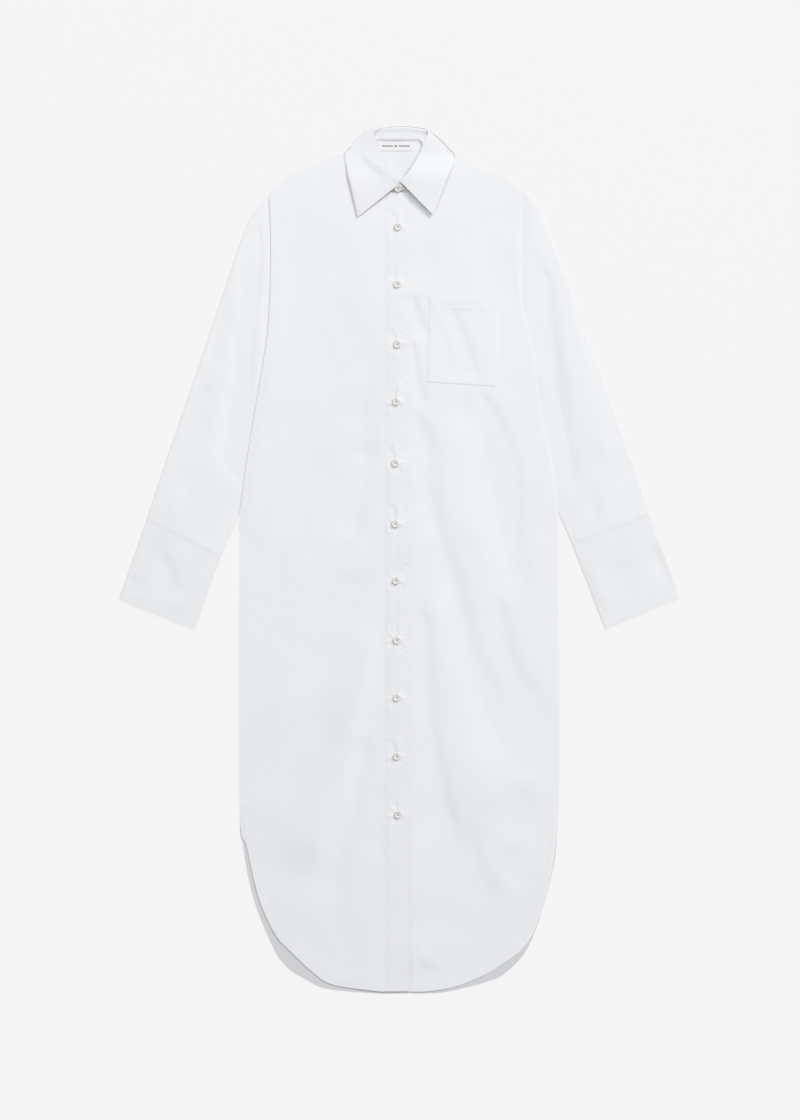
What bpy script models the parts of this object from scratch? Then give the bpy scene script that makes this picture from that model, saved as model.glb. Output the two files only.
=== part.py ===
"""Long shirt dress laid flat with its front up, as the pieces that are cut and sewn.

Metres, +Z up, +Y towards the collar, +X towards the wearer's left. The origin is the centre of the
underside, so the back panel, the sleeves and the cuffs rest at z = 0. Tables are in millimetres.
"""

from collections import namedtuple

import bpy
import numpy as np
from mathutils import Matrix, Vector
from mathutils.bvhtree import BVHTree

MM = 0.001

# Walls and gaps
CLOTH = 1.0 * MM              # wall of a single panel
STIFF = 1.2 * MM              # wall of an interlined piece: collar, stand and cuffs
SEAM = 0.4 * MM               # gap between two pieces
LAY = 0.3 * MM                # gap between two pieces that lie on each other

# The body
PLACKET_LEFT = -23.0 * MM     # stitched edge of the band
PLACKET_MIDDLE = -4.0 * MM    # centre front, the buttons' line
PLACKET_RIGHT = 15.0 * MM     # free edge of the band
PLACKET_TOP = 568.0 * MM
HEM_BOTTOM = -668.0 * MM      # lowest point of the front hem
EDGE_HEIGHT = CLOTH + LAY + CLOTH + 0.1 * MM  # top of a front where it lies on the back
AIR = 3.0 * MM                # how far the front stands off the back inside
AIR_REACH = 90.0 * MM         # how far from its edge it has risen
PLACKET_STEP = 1.8 * MM       # the right front lies this much higher at the band, over the left front
PLACKET_EASE = 45.0 * MM      # width over which that step eases away
ARMHOLE_STEP = 2.0 * MM       # the front's armhole edge lies over the sleeve
ARMHOLE_EASE = 40.0 * MM
ARMHOLE_LAP = 4.0 * MM        # how far the sleeve runs in under the front
FOLD_EASE = 40.0 * MM         # folds fade out this near to an edge

# Sleeves and cuffs
SLEEVE_AIR = 3.2 * MM
SLEEVE_REACH = 45.0 * MM
CUFF_EDGE = 2 * STIFF + LAY
CUFF_AIR = 2.9 * MM
CUFF_REACH = 40.0 * MM

# Buttons: 18 ligne
BUTTON_WIDTH = 11.4 * MM
BUTTON_HEIGHT = 2.4 * MM
BUTTON_DISH = 0.7 * MM
BUTTON_SIDES = 16
COLLAR_BUTTON = (-3.0, 575.5)
COLLAR_BUTTON_TILT = 0.22     # radians about X

# The collar
CROWN_SHARE = 0.14            # its highest line, this far from the roll to the turn
CROWN_RISE = (0, 0, 0.5)      # mm over the straight line between them
MIDDLE_RISE = (0, 0, 0.4)
LOWER_SHARE = 0.45            # the line below the turn, this far on to the free edge
LOWER_TUCKED = 1.8            # mm over the floor where the fall is tucked in behind the neck
PRESSED_BACK = 0.72           # share of its height that the fold keeps behind the neck
PRESSED_FROM, PRESSED_TO = 595.0 * MM, 645.0 * MM

# Grid sizes: rows down a piece and columns across it
FRONT_ROWS, NECK_COLUMNS, SHOULDER_COLUMNS = 28, 4, 6
BACK_ROWS, BACK_NECK_COLUMNS, BACK_SHOULDER_COLUMNS = 22, 4, 7
SLEEVE_ROWS, SLEEVE_COLUMNS = 20, 6
CUFF_ROWS, CUFF_COLUMNS = 4, 7
PLACKET_COLUMNS = 5
POCKET_COLUMNS, POCKET_ROWS = 7, 8
LABEL_COLUMNS, LABEL_ROWS = 5, 3
ARMHOLE_POINTS = 24
COLLAR_ROWS, STAND_ROWS = 34, 32

# One row for each half of the body, from the neck out and down to the hem's round corner
Half = namedtuple("Half", "neck shoulder armhole side hem back_side back_hem")
HALVES = {
    "right": Half(
        neck=((-23, 581), (-34, 596), (-44, 623), (-44, 648)),
        shoulder=((-44, 648), (-87, 630), (-155, 604), (-184, 587), (-203, 568)),
        armhole=((-203, 568), (-200, 480), (-205, 356), (-222, 248), (-238, 150), (-249, 69)),
        side=((-249, 69), (-249, -372), (-237, -445), (-219, -523), (-194, -579)),
        hem=((-194, -579), (-168, -608), (-135, -639), (-104, -658), (-34, -668), (-23, -668)),
        back_side=((-249, 69), (-249, -372), (-244, -442), (-228, -523), (-199, -597)),
        back_hem=((-199, -597), (-176, -631), (-145, -651), (-112, -665), (-34, -672), (0, -672)),
    ),
    "left": Half(
        neck=((15, 581), (26, 596), (36, 623), (36, 648)),
        shoulder=((36, 648), (85, 624), (155, 596), (189, 576)),
        armhole=((189, 576), (187, 480), (189, 403), (206, 325), (220, 227), (235, 150), (245, 72)),
        side=((245, 72), (247, -310), (243, -420), (232, -498), (201, -588)),
        hem=((201, -588), (150, -632), (113, -651), (82, -662), (46, -668), (15, -669)),
        back_side=((245, 72), (247, -310), (244, -420), (236, -486), (203, -592)),
        back_hem=((203, -592), (165, -639), (134, -654), (97, -664), (59, -671), (0, -672)),
    ),
}
NECK_AT = {-23: 569, -4: 570, 15: 569}    # neck edge of the layer on top at each column of the band

# A row for each sleeve: its folded outer edge, its inner edge below the armhole and the cuff's end
Sleeve = namedtuple("Sleeve", "outer inner cuff_outer cuff_inner")
SLEEVES = {
    "right": Sleeve(
        outer=((-207, 566), (-228, 536), (-241, 511), (-304, 325), (-368, 139), (-391, 68)),
        inner=((-249.6, 69), (-276, 9)),
        cuff_outer=(-436, -62),
        cuff_inner=(-319, -109),
    ),
    "left": Sleeve(
        outer=((194, 573.5), (218, 547), (231, 511), (299, 325), (365, 139), (386, 76)),
        inner=((245.6, 72), (265, 28)),
        cuff_outer=(435, -59),
        cuff_inner=(318, -108),
    ),
}

# The largest folds: a ridge has a height above 0, a trough below it
Fold = namedtuple("Fold", "name path width height")
BODY_FOLDS = (
    Fold("below the chest", ((-27, 201), (-70, 108), (-86, 0)), 22, -1.2),
    Fold("skirt ridge, right", ((-27, -93), (-78, -248), (-101, -357), (-194, -512)), 18, 1.5),
    Fold("skirt trough, right", ((-39, -233), (-62, -341), (-86, -450), (-109, -527)), 20, -1.2),
    Fold("long trough, left", ((15, 341), (41, 217), (77, 15), (108, -89), (159, -217)), 20, -1.4),
    Fold("long ridge, left", ((26, 62), (88, -186), (124, -310), (155, -450), (201, -574)), 18, 1.5),
    Fold("hem trough, left", ((26, -47), (51, -217), (93, -423), (113, -527)), 18, -1.2),
    Fold("below the pocket", ((124, 258), (158, 190), (178, 97), (186, -27)), 20, -1.0),
    Fold("to the left slit", ((159, -113), (186, -191), (212, -268), (237, -346)), 18, -1.2),
)
SLEEVE_FOLDS = (
    Fold("beside the right armhole", ((-214, 550), (-227, 356), (-241, 252), (-259, 97)), 10, -0.8),
    Fold("beside the left armhole", ((212, 485), (224, 403), (252, 250), (276, 103)), 12, -0.8),
)

POCKET = ((45, 408), (154, 406), (148, 269), (41, 276))
LABEL = ((-36, 649), (23, 649), (23, 634), (-36, 634))
BUTTONS = ((-3, 516), (-4, 427), (-4, 334), (-6, 245), (-7, 150), (-7, 56), (-6, -32), (-5, -124),
           (-5, -213), (-5, -304), (-3, -394))

# The collar's fall, a row for each section from the right leaf's front edge round the back to the
# left one's: the roll at its top, where it turns down, and its free edge
Fall = namedtuple("Fall", "roll turn edge")
FALL = (
    Fall((-5, 579, 12.5), (-60, 535, 10.9), (-65, 531, 10.2)),
    Fall((-14, 592, 13.2), (-71, 572, 10.7), (-75, 572, 9.8)),
    Fall((-24, 612, 14.5), (-78, 602, 10.5), (-82, 602, 9.2)),
    Fall((-31, 630, 16.0), (-83, 628, 9.0), (-86, 630, 5.5)),
    Fall((-36, 647, 17.0), (-75, 643, 7.5), (-70, 641, 0.0)),
    Fall((-40, 664, 17.5), (-58, 663, 8.0), (-56, 652, 0.0)),
    Fall((-26, 669, 18.0), (-28, 672, 9.0), (-27, 657, 0.0)),
    Fall((0, 672, 18.0), (0, 674, 9.0), (0, 656, 0.0)),
    Fall((26, 670, 18.0), (28, 672, 9.0), (27, 657, 0.0)),
    Fall((43, 665, 17.5), (50, 664, 8.0), (54, 652, 0.0)),
    Fall((37, 648, 17.0), (74, 642, 7.5), (69, 640, 0.0)),
    Fall((30, 630, 16.0), (83, 625, 9.0), (86, 626, 5.5)),
    Fall((18, 608, 14.5), (71, 597, 10.5), (75, 596, 9.2)),
    Fall((8, 594, 13.2), (59, 566, 10.7), (63, 565, 9.8)),
    Fall((0, 586, 12.5), (47, 538, 10.9), (51, 534, 10.2)),
)

# The collar stand in the same order: its seam with the neck edge and its top below the roll
Stand = namedtuple("Stand", "seam top")
STAND = (
    Stand((8, 573, 5.2), (2, 582.5, 8.6)),
    Stand((-6, 572.5, 4.9), (-8, 587.5, 9.2)),
    Stand((-18, 578.5, 3.8), (-18.5, 597, 10.6)),
    Stand((-32, 600, 2.9), (-26, 612, 12.2)),
    Stand((-42, 623, 2.4), (-33.5, 631, 13.6)),
    Stand((-42, 645, 2.0), (-38, 648, 14.6)),
    Stand((-36, 652.2, 1.5), (-38, 660, 15.2)),
    Stand((-22, 652.4, 0.4), (-25, 666.5, 15.8)),
    Stand((0, 652.4, 0.3), (0, 669, 15.8)),
    Stand((16, 652.4, 0.4), (25, 667, 15.8)),
    Stand((29, 652.2, 1.5), (40, 661, 15.2)),
    Stand((34.5, 645, 2.0), (38.5, 648, 14.6)),
    Stand((34, 623, 2.4), (31.5, 630, 13.6)),
    Stand((23, 601, 2.7), (19, 611, 11.6)),
    Stand((8, 583, 2.8), (10, 597, 8.8)),
    Stand((-4, 573.5, 2.6), (0, 588, 6.6)),
    Stand((-13, 574, 2.6), (-9, 587, 6.0)),
)

# Finish of each material: colour, roughness, metallic
Finish = namedtuple("Finish", "colour roughness metallic")
FINISHES = {
    "poplin": Finish((0.85, 0.86, 0.89), 0.8, 0.0),
    "collar_cloth": Finish((0.87, 0.88, 0.90), 0.8, 0.0),
    "label_tape": Finish((0.90, 0.90, 0.91), 0.6, 0.0),
    "button_resin": Finish((0.76, 0.74, 0.67), 0.3, 0.0),
}


# ---------------------------------------------------------------- curves and heights

def smooth(points, count):
    """count points at even distances along a curve through the table's points, in metres."""
    knots = np.array(points, float) * MM
    knots = np.vstack([2 * knots[0] - knots[1], knots, 2 * knots[-1] - knots[-2]])
    steps = np.linspace(0, 1, 16, endpoint=False)[:, None]
    dense = []
    for before, start, end, after in zip(knots, knots[1:], knots[2:], knots[3:]):
        rise, turn = end - before, 2 * before - 5 * start + 4 * end - after
        curl = 3 * (start - end) + after - before
        dense.append(start + 0.5 * (rise * steps + turn * steps**2 + curl * steps**3))
    dense = np.vstack(dense + [knots[-2:-1]])
    return spread(dense, count)


def spread(line, count):
    """count points at even distances along a polyline."""
    along = np.concatenate([[0], np.cumsum(np.linalg.norm(np.diff(line, axis=0), axis=1))])
    at = np.linspace(0, along[-1], count)
    return np.column_stack([np.interp(at, along, line[:, k]) for k in range(line.shape[1])])


def distance(x, y, line):
    """Distance in plan from each point to a polyline, and how far along the nearest place is (0 to 1)."""
    best = np.full(np.shape(x), 1e9)
    where = np.zeros(np.shape(x))
    for k, (a, b) in enumerate(zip(line, line[1:])):
        run = b - a
        if not run.any():
            continue
        t = ((x - a[0]) * run[0] + (y - a[1]) * run[1]) / (run @ run)
        t = np.clip(t, 0, 1)
        d = np.hypot(x - a[0] - t * run[0], y - a[1] - t * run[1])
        nearer = d < best
        best = np.where(nearer, d, best)
        where = np.where(nearer, (k + t) / (len(line) - 1), where)
    return best, where


def ease(t):
    """Smooth step from 0 to 1."""
    t = np.clip(t, 0, 1)
    return t * t * (3 - 2 * t)


def swell(d, reach):
    """Rise from 0 at an edge to 1 at reach, steep at the edge and level inside."""
    return 1 - (1 - np.clip(d / reach, 0, 1)) ** 2


def folds(x, y, table):
    total = np.zeros(np.shape(x))
    for fold in table:
        d, along = distance(x, y, smooth(fold.path, 16))
        fade = np.sin(np.pi * np.clip(0.12 + 0.76 * along, 0, 1))
        total += fold.height * MM * fade * np.exp(-((d / (fold.width * MM)) ** 2))
    return total


def side_and_hem(side, hem):
    """The side edge and the hem as one curve, cut in two at the hem's round corner."""
    whole = smooth(side + hem[1:], 200)
    corner = np.array(side[-1]) * MM
    cut = int(np.argmin(np.linalg.norm(whole - corner, axis=1)))
    return whole[:cut + 1], whole[cut:]


def half_outline(half):
    """The front's outline on one side, from the centre front neck to the hem's lowest point."""
    above = [smooth(edge, 12) for edge in (half.neck, half.shoulder, half.armhole)]
    return np.vstack(above + [spread(edge, 16) for edge in side_and_hem(half.side, half.hem)])


def front_height(x, y):
    """Height of the front's top surface over the floor."""
    side = {name: distance(x, y, half_outline(half))[0] for name, half in HALVES.items()}
    d = np.minimum(side["right"], side["left"])
    height = EDGE_HEIGHT + AIR * swell(d, AIR_REACH)
    height += folds(x, y, BODY_FOLDS) * ease(d / FOLD_EASE)
    for half in HALVES.values():
        to_armhole = distance(x, y, smooth(half.armhole, 24))[0]
        height += ARMHOLE_STEP * (1 - ease(to_armhole / ARMHOLE_EASE))
    return height


def placket_step(x):
    return PLACKET_STEP * ease((x - PLACKET_LEFT + PLACKET_EASE) / PLACKET_EASE)


# ---------------------------------------------------------------- solids

def material(name):
    found = bpy.data.materials.get(name)
    if found:
        return found
    finish = FINISHES[name.split(".")[0]]
    made = bpy.data.materials.new(name)
    made.use_nodes = True
    shader = made.node_tree.nodes["Principled BSDF"]
    shader.inputs["Base Color"].default_value = (*finish.colour, 1)
    shader.inputs["Roughness"].default_value = finish.roughness
    shader.inputs["Metallic"].default_value = finish.metallic
    return made


def solid(name, points, faces, finish):
    """One named object from points in metres and faces that turn outwards."""
    mesh = bpy.data.meshes.new(name)
    mesh.from_pydata([tuple(map(float, p)) for p in points], [], [list(map(int, f)) for f in faces])
    mesh.update()
    made = bpy.data.objects.new(name, mesh)
    mesh.materials.append(material(f"{finish}.{name}"))
    bpy.context.scene.collection.objects.link(made)
    return made


def wall(name, outer, inner, faces, finish):
    """A closed wall between an open surface and its inner copy, with a rim along every free edge."""
    outer, inner = np.asarray(outer), np.asarray(inner)
    count = len(outer)
    closed = [tuple(f) for f in faces] + [tuple(count + i for i in reversed(f)) for f in faces]
    directed = {(f[i], f[(i + 1) % len(f)]) for f in faces for i in range(len(f))}
    for a, b in sorted(directed):
        if (b, a) not in directed:
            closed.append((b, a, a + count, b + count))
    return solid(name, np.vstack([outer, inner]), closed, finish)


def grid_faces(rows, columns, flip=False):
    """Quads of a grid numbered row by row, facing up where rows run down (-Y) and columns to +X."""
    faces = []
    for r in range(rows - 1):
        for c in range(columns - 1):
            k = r * columns + c
            quad = (k, k + columns, k + columns + 1, k + 1)
            faces.append(quad[::-1] if flip else quad)
    return faces


def panel(name, plan, top, finish="poplin", cloth=CLOTH):
    """A wall from a grid of plan points (rows, columns, 2) and the height of its top surface."""
    rows, columns = plan.shape[:2]
    flip = np.cross(plan[-1, 0] - plan[0, 0], plan[0, -1] - plan[0, 0]) < 0
    upper = np.concatenate([plan, top[..., None]], axis=2).reshape(-1, 3)
    lower = upper - (0, 0, cloth)
    return wall(name, upper, lower, grid_faces(rows, columns, flip), finish)


def patch(top, bottom, left, right):
    """Plan points blended between four edges; top and bottom run along u, left and right down v."""
    u = np.linspace(0, 1, len(top))[None, :, None]
    v = np.linspace(0, 1, len(left))[:, None, None]
    across = (1 - u) * left[:, None] + u * right[:, None]
    down = (1 - v) * top[None] + v * bottom[None]
    corners = ((1 - u) * (1 - v) * top[0] + u * (1 - v) * top[-1]
               + (1 - u) * v * bottom[0] + u * v * bottom[-1])
    return across + down - corners


def surface_of(made):
    """A lookup for the highest point of a solid near a place in plan."""
    mesh = made.data
    tree = BVHTree.FromPolygons([v.co for v in mesh.vertices], [p.vertices[:] for p in mesh.polygons])

    def highest(x, y, reach):
        found = []
        for dx in (-reach, -reach / 2, 0, reach / 2, reach):
            for dy in (-reach, -reach / 2, 0, reach / 2, reach):
                hit = tree.ray_cast(Vector((x + dx, y + dy, 1)), Vector((0, 0, -1)))[0]
                if hit:
                    found.append(hit.z)
        return max(found)

    return highest


def laid_on(made, plan, reach, gap=LAY):
    """Heights of the underside of a grid that lies on a solid."""
    highest = surface_of(made)
    return np.array([[highest(x, y, reach) + gap for x, y in row] for row in plan])


# ---------------------------------------------------------------- the body

def band_columns(tops, bottom, rows):
    """Plan columns of a front under the placket, from its free edge to the placket's other edge."""
    columns = []
    for x, top in tops:
        y = np.linspace(top, bottom, rows)
        columns.append(np.column_stack([np.full(rows, x), y]))
    return np.stack(columns, axis=1)


def front_plan(side):
    """Grid of one front: its columns under the placket, then a patch out to the side seam."""
    half = HALVES[side]
    rows = FRONT_ROWS
    neck = smooth(half.neck, NECK_COLUMNS + 1)
    shoulder = smooth(half.shoulder, SHOULDER_COLUMNS + 1)
    top = np.vstack([neck, shoulder[1:]])
    side_edge, hem_edge = side_and_hem(half.side, half.hem)
    bottom = spread(hem_edge[::-1], len(top))
    left = np.column_stack([np.linspace(top[0, k], bottom[0, k], rows) for k in (0, 1)])
    down = spread(np.vstack([smooth(half.armhole, 40), side_edge[1:]]), rows)
    patch_points = patch(top, bottom, left, down)
    free, middle = (15, -4) if side == "right" else (-23, -4)
    inset = -SEAM if side == "right" else SEAM
    tops = [(free * MM + inset, NECK_AT[free] * MM), (middle * MM, NECK_AT[middle] * MM)]
    return np.concatenate([band_columns(tops, bottom[0, 1], rows), patch_points], axis=1)


def make_fronts():
    made = {}
    for side in HALVES:
        plan = front_plan(side)
        x, y = plan[..., 0], plan[..., 1]
        height = front_height(x, y)
        if side == "right":
            height = height + placket_step(x)
        made[side] = panel(f"front_{side}", plan, height)
    return made


def inset_armhole(half, inward):
    """The armhole line moved in under the front; it meets the front's edge at both of its ends."""
    line = smooth(half.armhole, ARMHOLE_POINTS)
    share = np.linspace(0, 1, ARMHOLE_POINTS)
    lap = ARMHOLE_LAP * ease(share * 5) * ease((1 - share) * 5)
    return line + np.column_stack([inward * (lap + SEAM), np.zeros(ARMHOLE_POINTS)])


def make_back():
    """The back lies flat on the floor, a little wider round the hem than the front."""
    parts = {}
    for side, half in HALVES.items():
        inward = 1 if side == "right" else -1
        neck_edge = smooth(((-4, 649.5), half.shoulder[0]), BACK_NECK_COLUMNS)
        shoulder = smooth(half.shoulder, BACK_SHOULDER_COLUMNS) + (inward * SEAM, -SEAM)
        top = np.vstack([neck_edge, shoulder[1:]])
        side_edge, hem_edge = side_and_hem(half.back_side, half.back_hem)
        side_line = side_edge + (inward * SEAM, 0)
        down = np.vstack([inset_armhole(half, inward) + (inward * SEAM, 0), side_line[1:]])
        bottom = spread(hem_edge[::-1], len(top))
        bottom[0, 0] = PLACKET_MIDDLE
        centre = np.column_stack([np.linspace(top[0, k], bottom[0, k], BACK_ROWS) for k in (0, 1)])
        parts[side] = patch(top, bottom, centre, spread(down, BACK_ROWS))
    plan = np.concatenate([parts["right"][:, :0:-1], parts["left"]], axis=1)
    return panel("back", plan, np.full(plan.shape[:2], CLOTH))


def make_placket(front):
    rows = FRONT_ROWS + 2
    tops = [(x, PLACKET_TOP) for x in np.linspace(PLACKET_LEFT, PLACKET_RIGHT, PLACKET_COLUMNS)]
    plan = band_columns(tops, HEM_BOTTOM + LAY, rows)
    under = laid_on(front, plan, 4 * MM)
    return panel("placket", plan, under + CLOTH)


def four_sided(corners, columns, rows):
    """Plan grid between a table's four corners, which go round from the top left."""
    a, b, c, d = np.array(corners, float) * MM
    return patch(np.linspace(a, b, columns), np.linspace(d, c, columns),
                 np.linspace(a, d, rows), np.linspace(b, c, rows))


def make_pocket(front):
    plan = four_sided(POCKET, POCKET_COLUMNS, POCKET_ROWS)
    under = laid_on(front, plan, 9 * MM)
    return panel("pocket", plan, under + CLOTH)


def make_label():
    plan = four_sided(LABEL, LABEL_COLUMNS, LABEL_ROWS)
    return panel("neck_label", plan, np.full(plan.shape[:2], CLOTH + LAY + CLOTH), "label_tape")


# ---------------------------------------------------------------- sleeves and cuffs

def tube(name, outer, inner, columns, height, cloth, finish, mouth_rows=0, cap=False):
    """A flattened tube between two edges, folded at the outer one and joined along the inner one.

    height(x, y) gives its top surface; it lies on the floor. The first mouth_rows rows are open
    along the inner edge. A cap folds it shut at its first row.
    """
    rows = len(outer)
    across = (1 - np.cos(np.linspace(0, np.pi, columns))) / 2
    plan = outer[:, None] * (1 - across[None, :, None]) + inner[:, None] * across[None, :, None]
    inward = inner - outer
    inward = inward / np.linalg.norm(inward, axis=1)[:, None]
    top = height(plan[..., 0], plan[..., 1])
    shell = np.concatenate([
        np.concatenate([plan, top[..., None]], axis=2),
        np.concatenate([plan, np.zeros_like(top)[..., None]], axis=2)[:, ::-1],
    ], axis=1)
    lining = shell.copy()
    lining[:, :columns, 2] -= cloth
    lining[:, columns:, 2] += cloth
    step = np.column_stack([inward, np.zeros(rows)]) * cloth
    for c in (0, 2 * columns - 1):
        lining[:, c] += step
    for c in (columns - 1, columns):
        lining[mouth_rows:, c] -= step[mouth_rows:]
    if cap:
        down = np.append(plan[1].mean(0) - plan[0].mean(0), 0)
        lining[0] += down / np.linalg.norm(down) * cloth
    ring = 2 * columns
    faces = []
    for r in range(rows - 1):
        for c in range(ring):
            if c == columns - 1 and r < mouth_rows:
                continue
            n = (c + 1) % ring
            faces.append((r * ring + c, (r + 1) * ring + c, (r + 1) * ring + n, r * ring + n))
    if cap:
        for c in range(columns - 1):
            faces.append((c, c + 1, ring - 2 - c, ring - 1 - c))
    flip = np.cross(plan[-1, 0] - plan[0, 0], plan[0, -1] - plan[0, 0]) < 0
    if flip:
        faces = [f[::-1] for f in faces]
    return wall(name, shell.reshape(-1, 3), lining.reshape(-1, 3), faces, finish)


def make_sleeve(side):
    """The sleeve's open head runs in under the front along the armhole."""
    sleeve, half = SLEEVES[side], HALVES[side]
    inward = 1 if side == "right" else -1
    mouth = inset_armhole(half, inward) - (inward * 2 * SEAM, 0)
    seam = smooth(sleeve.inner, 6)
    inner = spread(np.vstack([mouth[1:], seam]), SLEEVE_ROWS)
    outer = smooth(sleeve.outer, SLEEVE_ROWS)
    mouth_rows = int(np.argmin(np.abs(inner[:, 1] - seam[0, 1])))
    rim = np.vstack([inner[::-1], outer])

    def height(x, y):
        d = distance(x, y, rim)[0]
        rise = SLEEVE_AIR * swell(d, SLEEVE_REACH) + folds(x, y, SLEEVE_FOLDS) * ease(d / (20 * MM))
        return EDGE_HEIGHT + rise

    return tube(f"sleeve_{side}", outer, inner, SLEEVE_COLUMNS, height, CLOTH, "poplin", mouth_rows, True)


def make_cuff(side):
    sleeve = SLEEVES[side]
    start_outer, start_inner = np.array(sleeve.outer[-1]) * MM, np.array(sleeve.inner[-1]) * MM
    end_outer, end_inner = np.array(sleeve.cuff_outer) * MM, np.array(sleeve.cuff_inner) * MM
    down = (end_outer + end_inner) - (start_outer + start_inner)
    gap = down / np.linalg.norm(down) * SEAM
    outer = np.linspace(start_outer + gap, end_outer, CUFF_ROWS + 1)
    inner = np.linspace(start_inner + gap, end_inner, CUFF_ROWS + 1)

    def height(x, y):
        d = np.minimum(distance(x, y, outer)[0], distance(x, y, inner)[0])
        return CUFF_EDGE + CUFF_AIR * swell(d, CUFF_REACH)

    return tube(f"cuff_{side}", outer, inner, CUFF_COLUMNS, height, STIFF, "collar_cloth")


# ---------------------------------------------------------------- collar

def strip(name, lines, rows, finish):
    """A wall from key lines (each a curve along the collar), its second side moved in by its thickness."""
    grid = np.stack([smooth(line, rows) for line in lines], axis=1)
    behind = ease((grid[..., 1] - PRESSED_FROM) / (PRESSED_TO - PRESSED_FROM))
    grid[..., 2] = np.maximum(grid[..., 2], 0) * (1 - (1 - PRESSED_BACK) * behind)
    along = np.gradient(grid, axis=0)
    across = np.gradient(grid, axis=1)
    normal = np.cross(along, across)
    normal /= np.linalg.norm(normal, axis=2)[..., None]
    back = grid - normal * STIFF
    back[..., 2] = np.maximum(back[..., 2], 0)
    faces = grid_faces(rows, grid.shape[1])
    return wall(name, grid.reshape(-1, 3), back.reshape(-1, 3), faces, finish)


def make_collar():
    """The fall lies in two leaves on the fronts and is tucked under the stand behind the neck."""
    roll, turn, edge = (np.array(line) for line in zip(*FALL))
    crown = roll * (1 - CROWN_SHARE) + turn * CROWN_SHARE + CROWN_RISE
    middle = (roll + turn) / 2 + MIDDLE_RISE
    lower = turn * (1 - LOWER_SHARE) + edge * LOWER_SHARE
    lower[:, 2] = np.where(edge[:, 2] > 0, lower[:, 2], LOWER_TUCKED)
    return strip("collar", (roll, crown, middle, turn, lower, edge), COLLAR_ROWS, "collar_cloth")


def make_stand():
    seam, top = (np.array(line) for line in zip(*STAND))
    return strip("collar_stand", (top, (top + seam) / 2, seam), STAND_ROWS, "collar_cloth")


# ---------------------------------------------------------------- buttons

def button(name, place):
    """A turned disc with a raised rim round a shallow dish."""
    radius = BUTTON_WIDTH / 2
    profile = ((0.80, 0.0), (1.0, 0.30), (1.0, 0.75), (0.86, 1.0), (0.62, 1.0 - BUTTON_DISH / BUTTON_HEIGHT))
    points = []
    for share, level in profile:
        for k in range(BUTTON_SIDES):
            turn = 2 * np.pi * k / BUTTON_SIDES
            points.append((share * radius * np.cos(turn), share * radius * np.sin(turn), level * BUTTON_HEIGHT))
    faces = [tuple(range(BUTTON_SIDES))[::-1]]
    for ring in range(len(profile) - 1):
        for k in range(BUTTON_SIDES):
            n = (k + 1) % BUTTON_SIDES
            a, b = ring * BUTTON_SIDES, (ring + 1) * BUTTON_SIDES
            faces.append((a + k, a + n, b + n, b + k))
    last = (len(profile) - 1) * BUTTON_SIDES
    faces.append(tuple(range(last, last + BUTTON_SIDES)))
    made = solid(name, points, faces, "button_resin")
    made.matrix_world = place
    return made


def make_buttons(placket, stand):
    highest = surface_of(placket)
    for number, (x, y) in enumerate(BUTTONS, 1):
        x, y = x * MM, y * MM
        z = highest(x, y, BUTTON_WIDTH * 0.45) + LAY
        button(f"button_{number:02d}", Matrix.Translation((x, y, z)))
    x, y = (value * MM for value in COLLAR_BUTTON)
    z = surface_of(stand)(x, y, BUTTON_WIDTH * 0.2) + LAY
    tilt = Matrix.Rotation(COLLAR_BUTTON_TILT, 4, "X")
    button("button_collar", Matrix.Translation((x, y, z)) @ tilt)


def main():
    for old in list(bpy.data.objects):
        bpy.data.objects.remove(old, do_unlink=True)
    make_back()
    fronts = make_fronts()
    placket = make_placket(fronts["right"])
    make_pocket(fronts["left"])
    make_label()
    for side in SLEEVES:
        make_sleeve(side)
        make_cuff(side)
    make_collar()
    stand = make_stand()
    make_buttons(placket, stand)


main()
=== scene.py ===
"""Long shirt dress in white cotton poplin, laid flat: the cloth, its creases, stitching and buttons.

Metres, +Z up, +Y towards the collar, +X towards the wearer's left. The pattern's tables are in
millimetres. The dress lies on the floor at z = 0.
"""

from collections import namedtuple
from math import radians

import bpy
import numpy as np
from bpy.props import FloatProperty, FloatVectorProperty, IntProperty, PointerProperty
from mathutils import Matrix, Vector


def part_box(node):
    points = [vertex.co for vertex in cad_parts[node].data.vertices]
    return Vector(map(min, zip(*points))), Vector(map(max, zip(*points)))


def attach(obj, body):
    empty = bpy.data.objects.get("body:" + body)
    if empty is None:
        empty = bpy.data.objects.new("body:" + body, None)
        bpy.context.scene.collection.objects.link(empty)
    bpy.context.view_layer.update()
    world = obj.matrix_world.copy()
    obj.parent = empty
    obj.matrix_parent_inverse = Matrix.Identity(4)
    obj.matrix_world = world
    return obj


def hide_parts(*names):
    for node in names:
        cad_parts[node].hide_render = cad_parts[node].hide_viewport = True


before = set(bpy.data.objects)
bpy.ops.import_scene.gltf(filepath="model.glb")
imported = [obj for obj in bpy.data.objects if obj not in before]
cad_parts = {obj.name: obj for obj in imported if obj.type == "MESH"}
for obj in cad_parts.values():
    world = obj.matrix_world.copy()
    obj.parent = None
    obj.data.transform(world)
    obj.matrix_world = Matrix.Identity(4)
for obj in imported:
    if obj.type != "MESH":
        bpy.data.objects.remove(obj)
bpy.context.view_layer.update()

bl_info = {
    "name": "Shirt Dress",
    "version": (1, 0, 0),
    "blender": (4, 5, 0),
    "location": "3D View > Sidebar > Shirt Dress",
    "description": "Builds the cloth, stitching and buttons of a long shirt dress laid flat",
    "category": "Add Mesh",
}

MM = 0.001
BODY = "root"

# ---------------------------------------------------------------- the pattern

BAND_LEFT, BAND_MIDDLE, BAND_RIGHT = -23.0 * MM, -4.0 * MM, 15.0 * MM
SEAM = 0.4 * MM               # gap between two pieces side by side
ARMHOLE_LAP = 4.0 * MM        # how far a sleeve runs in under the front

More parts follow.
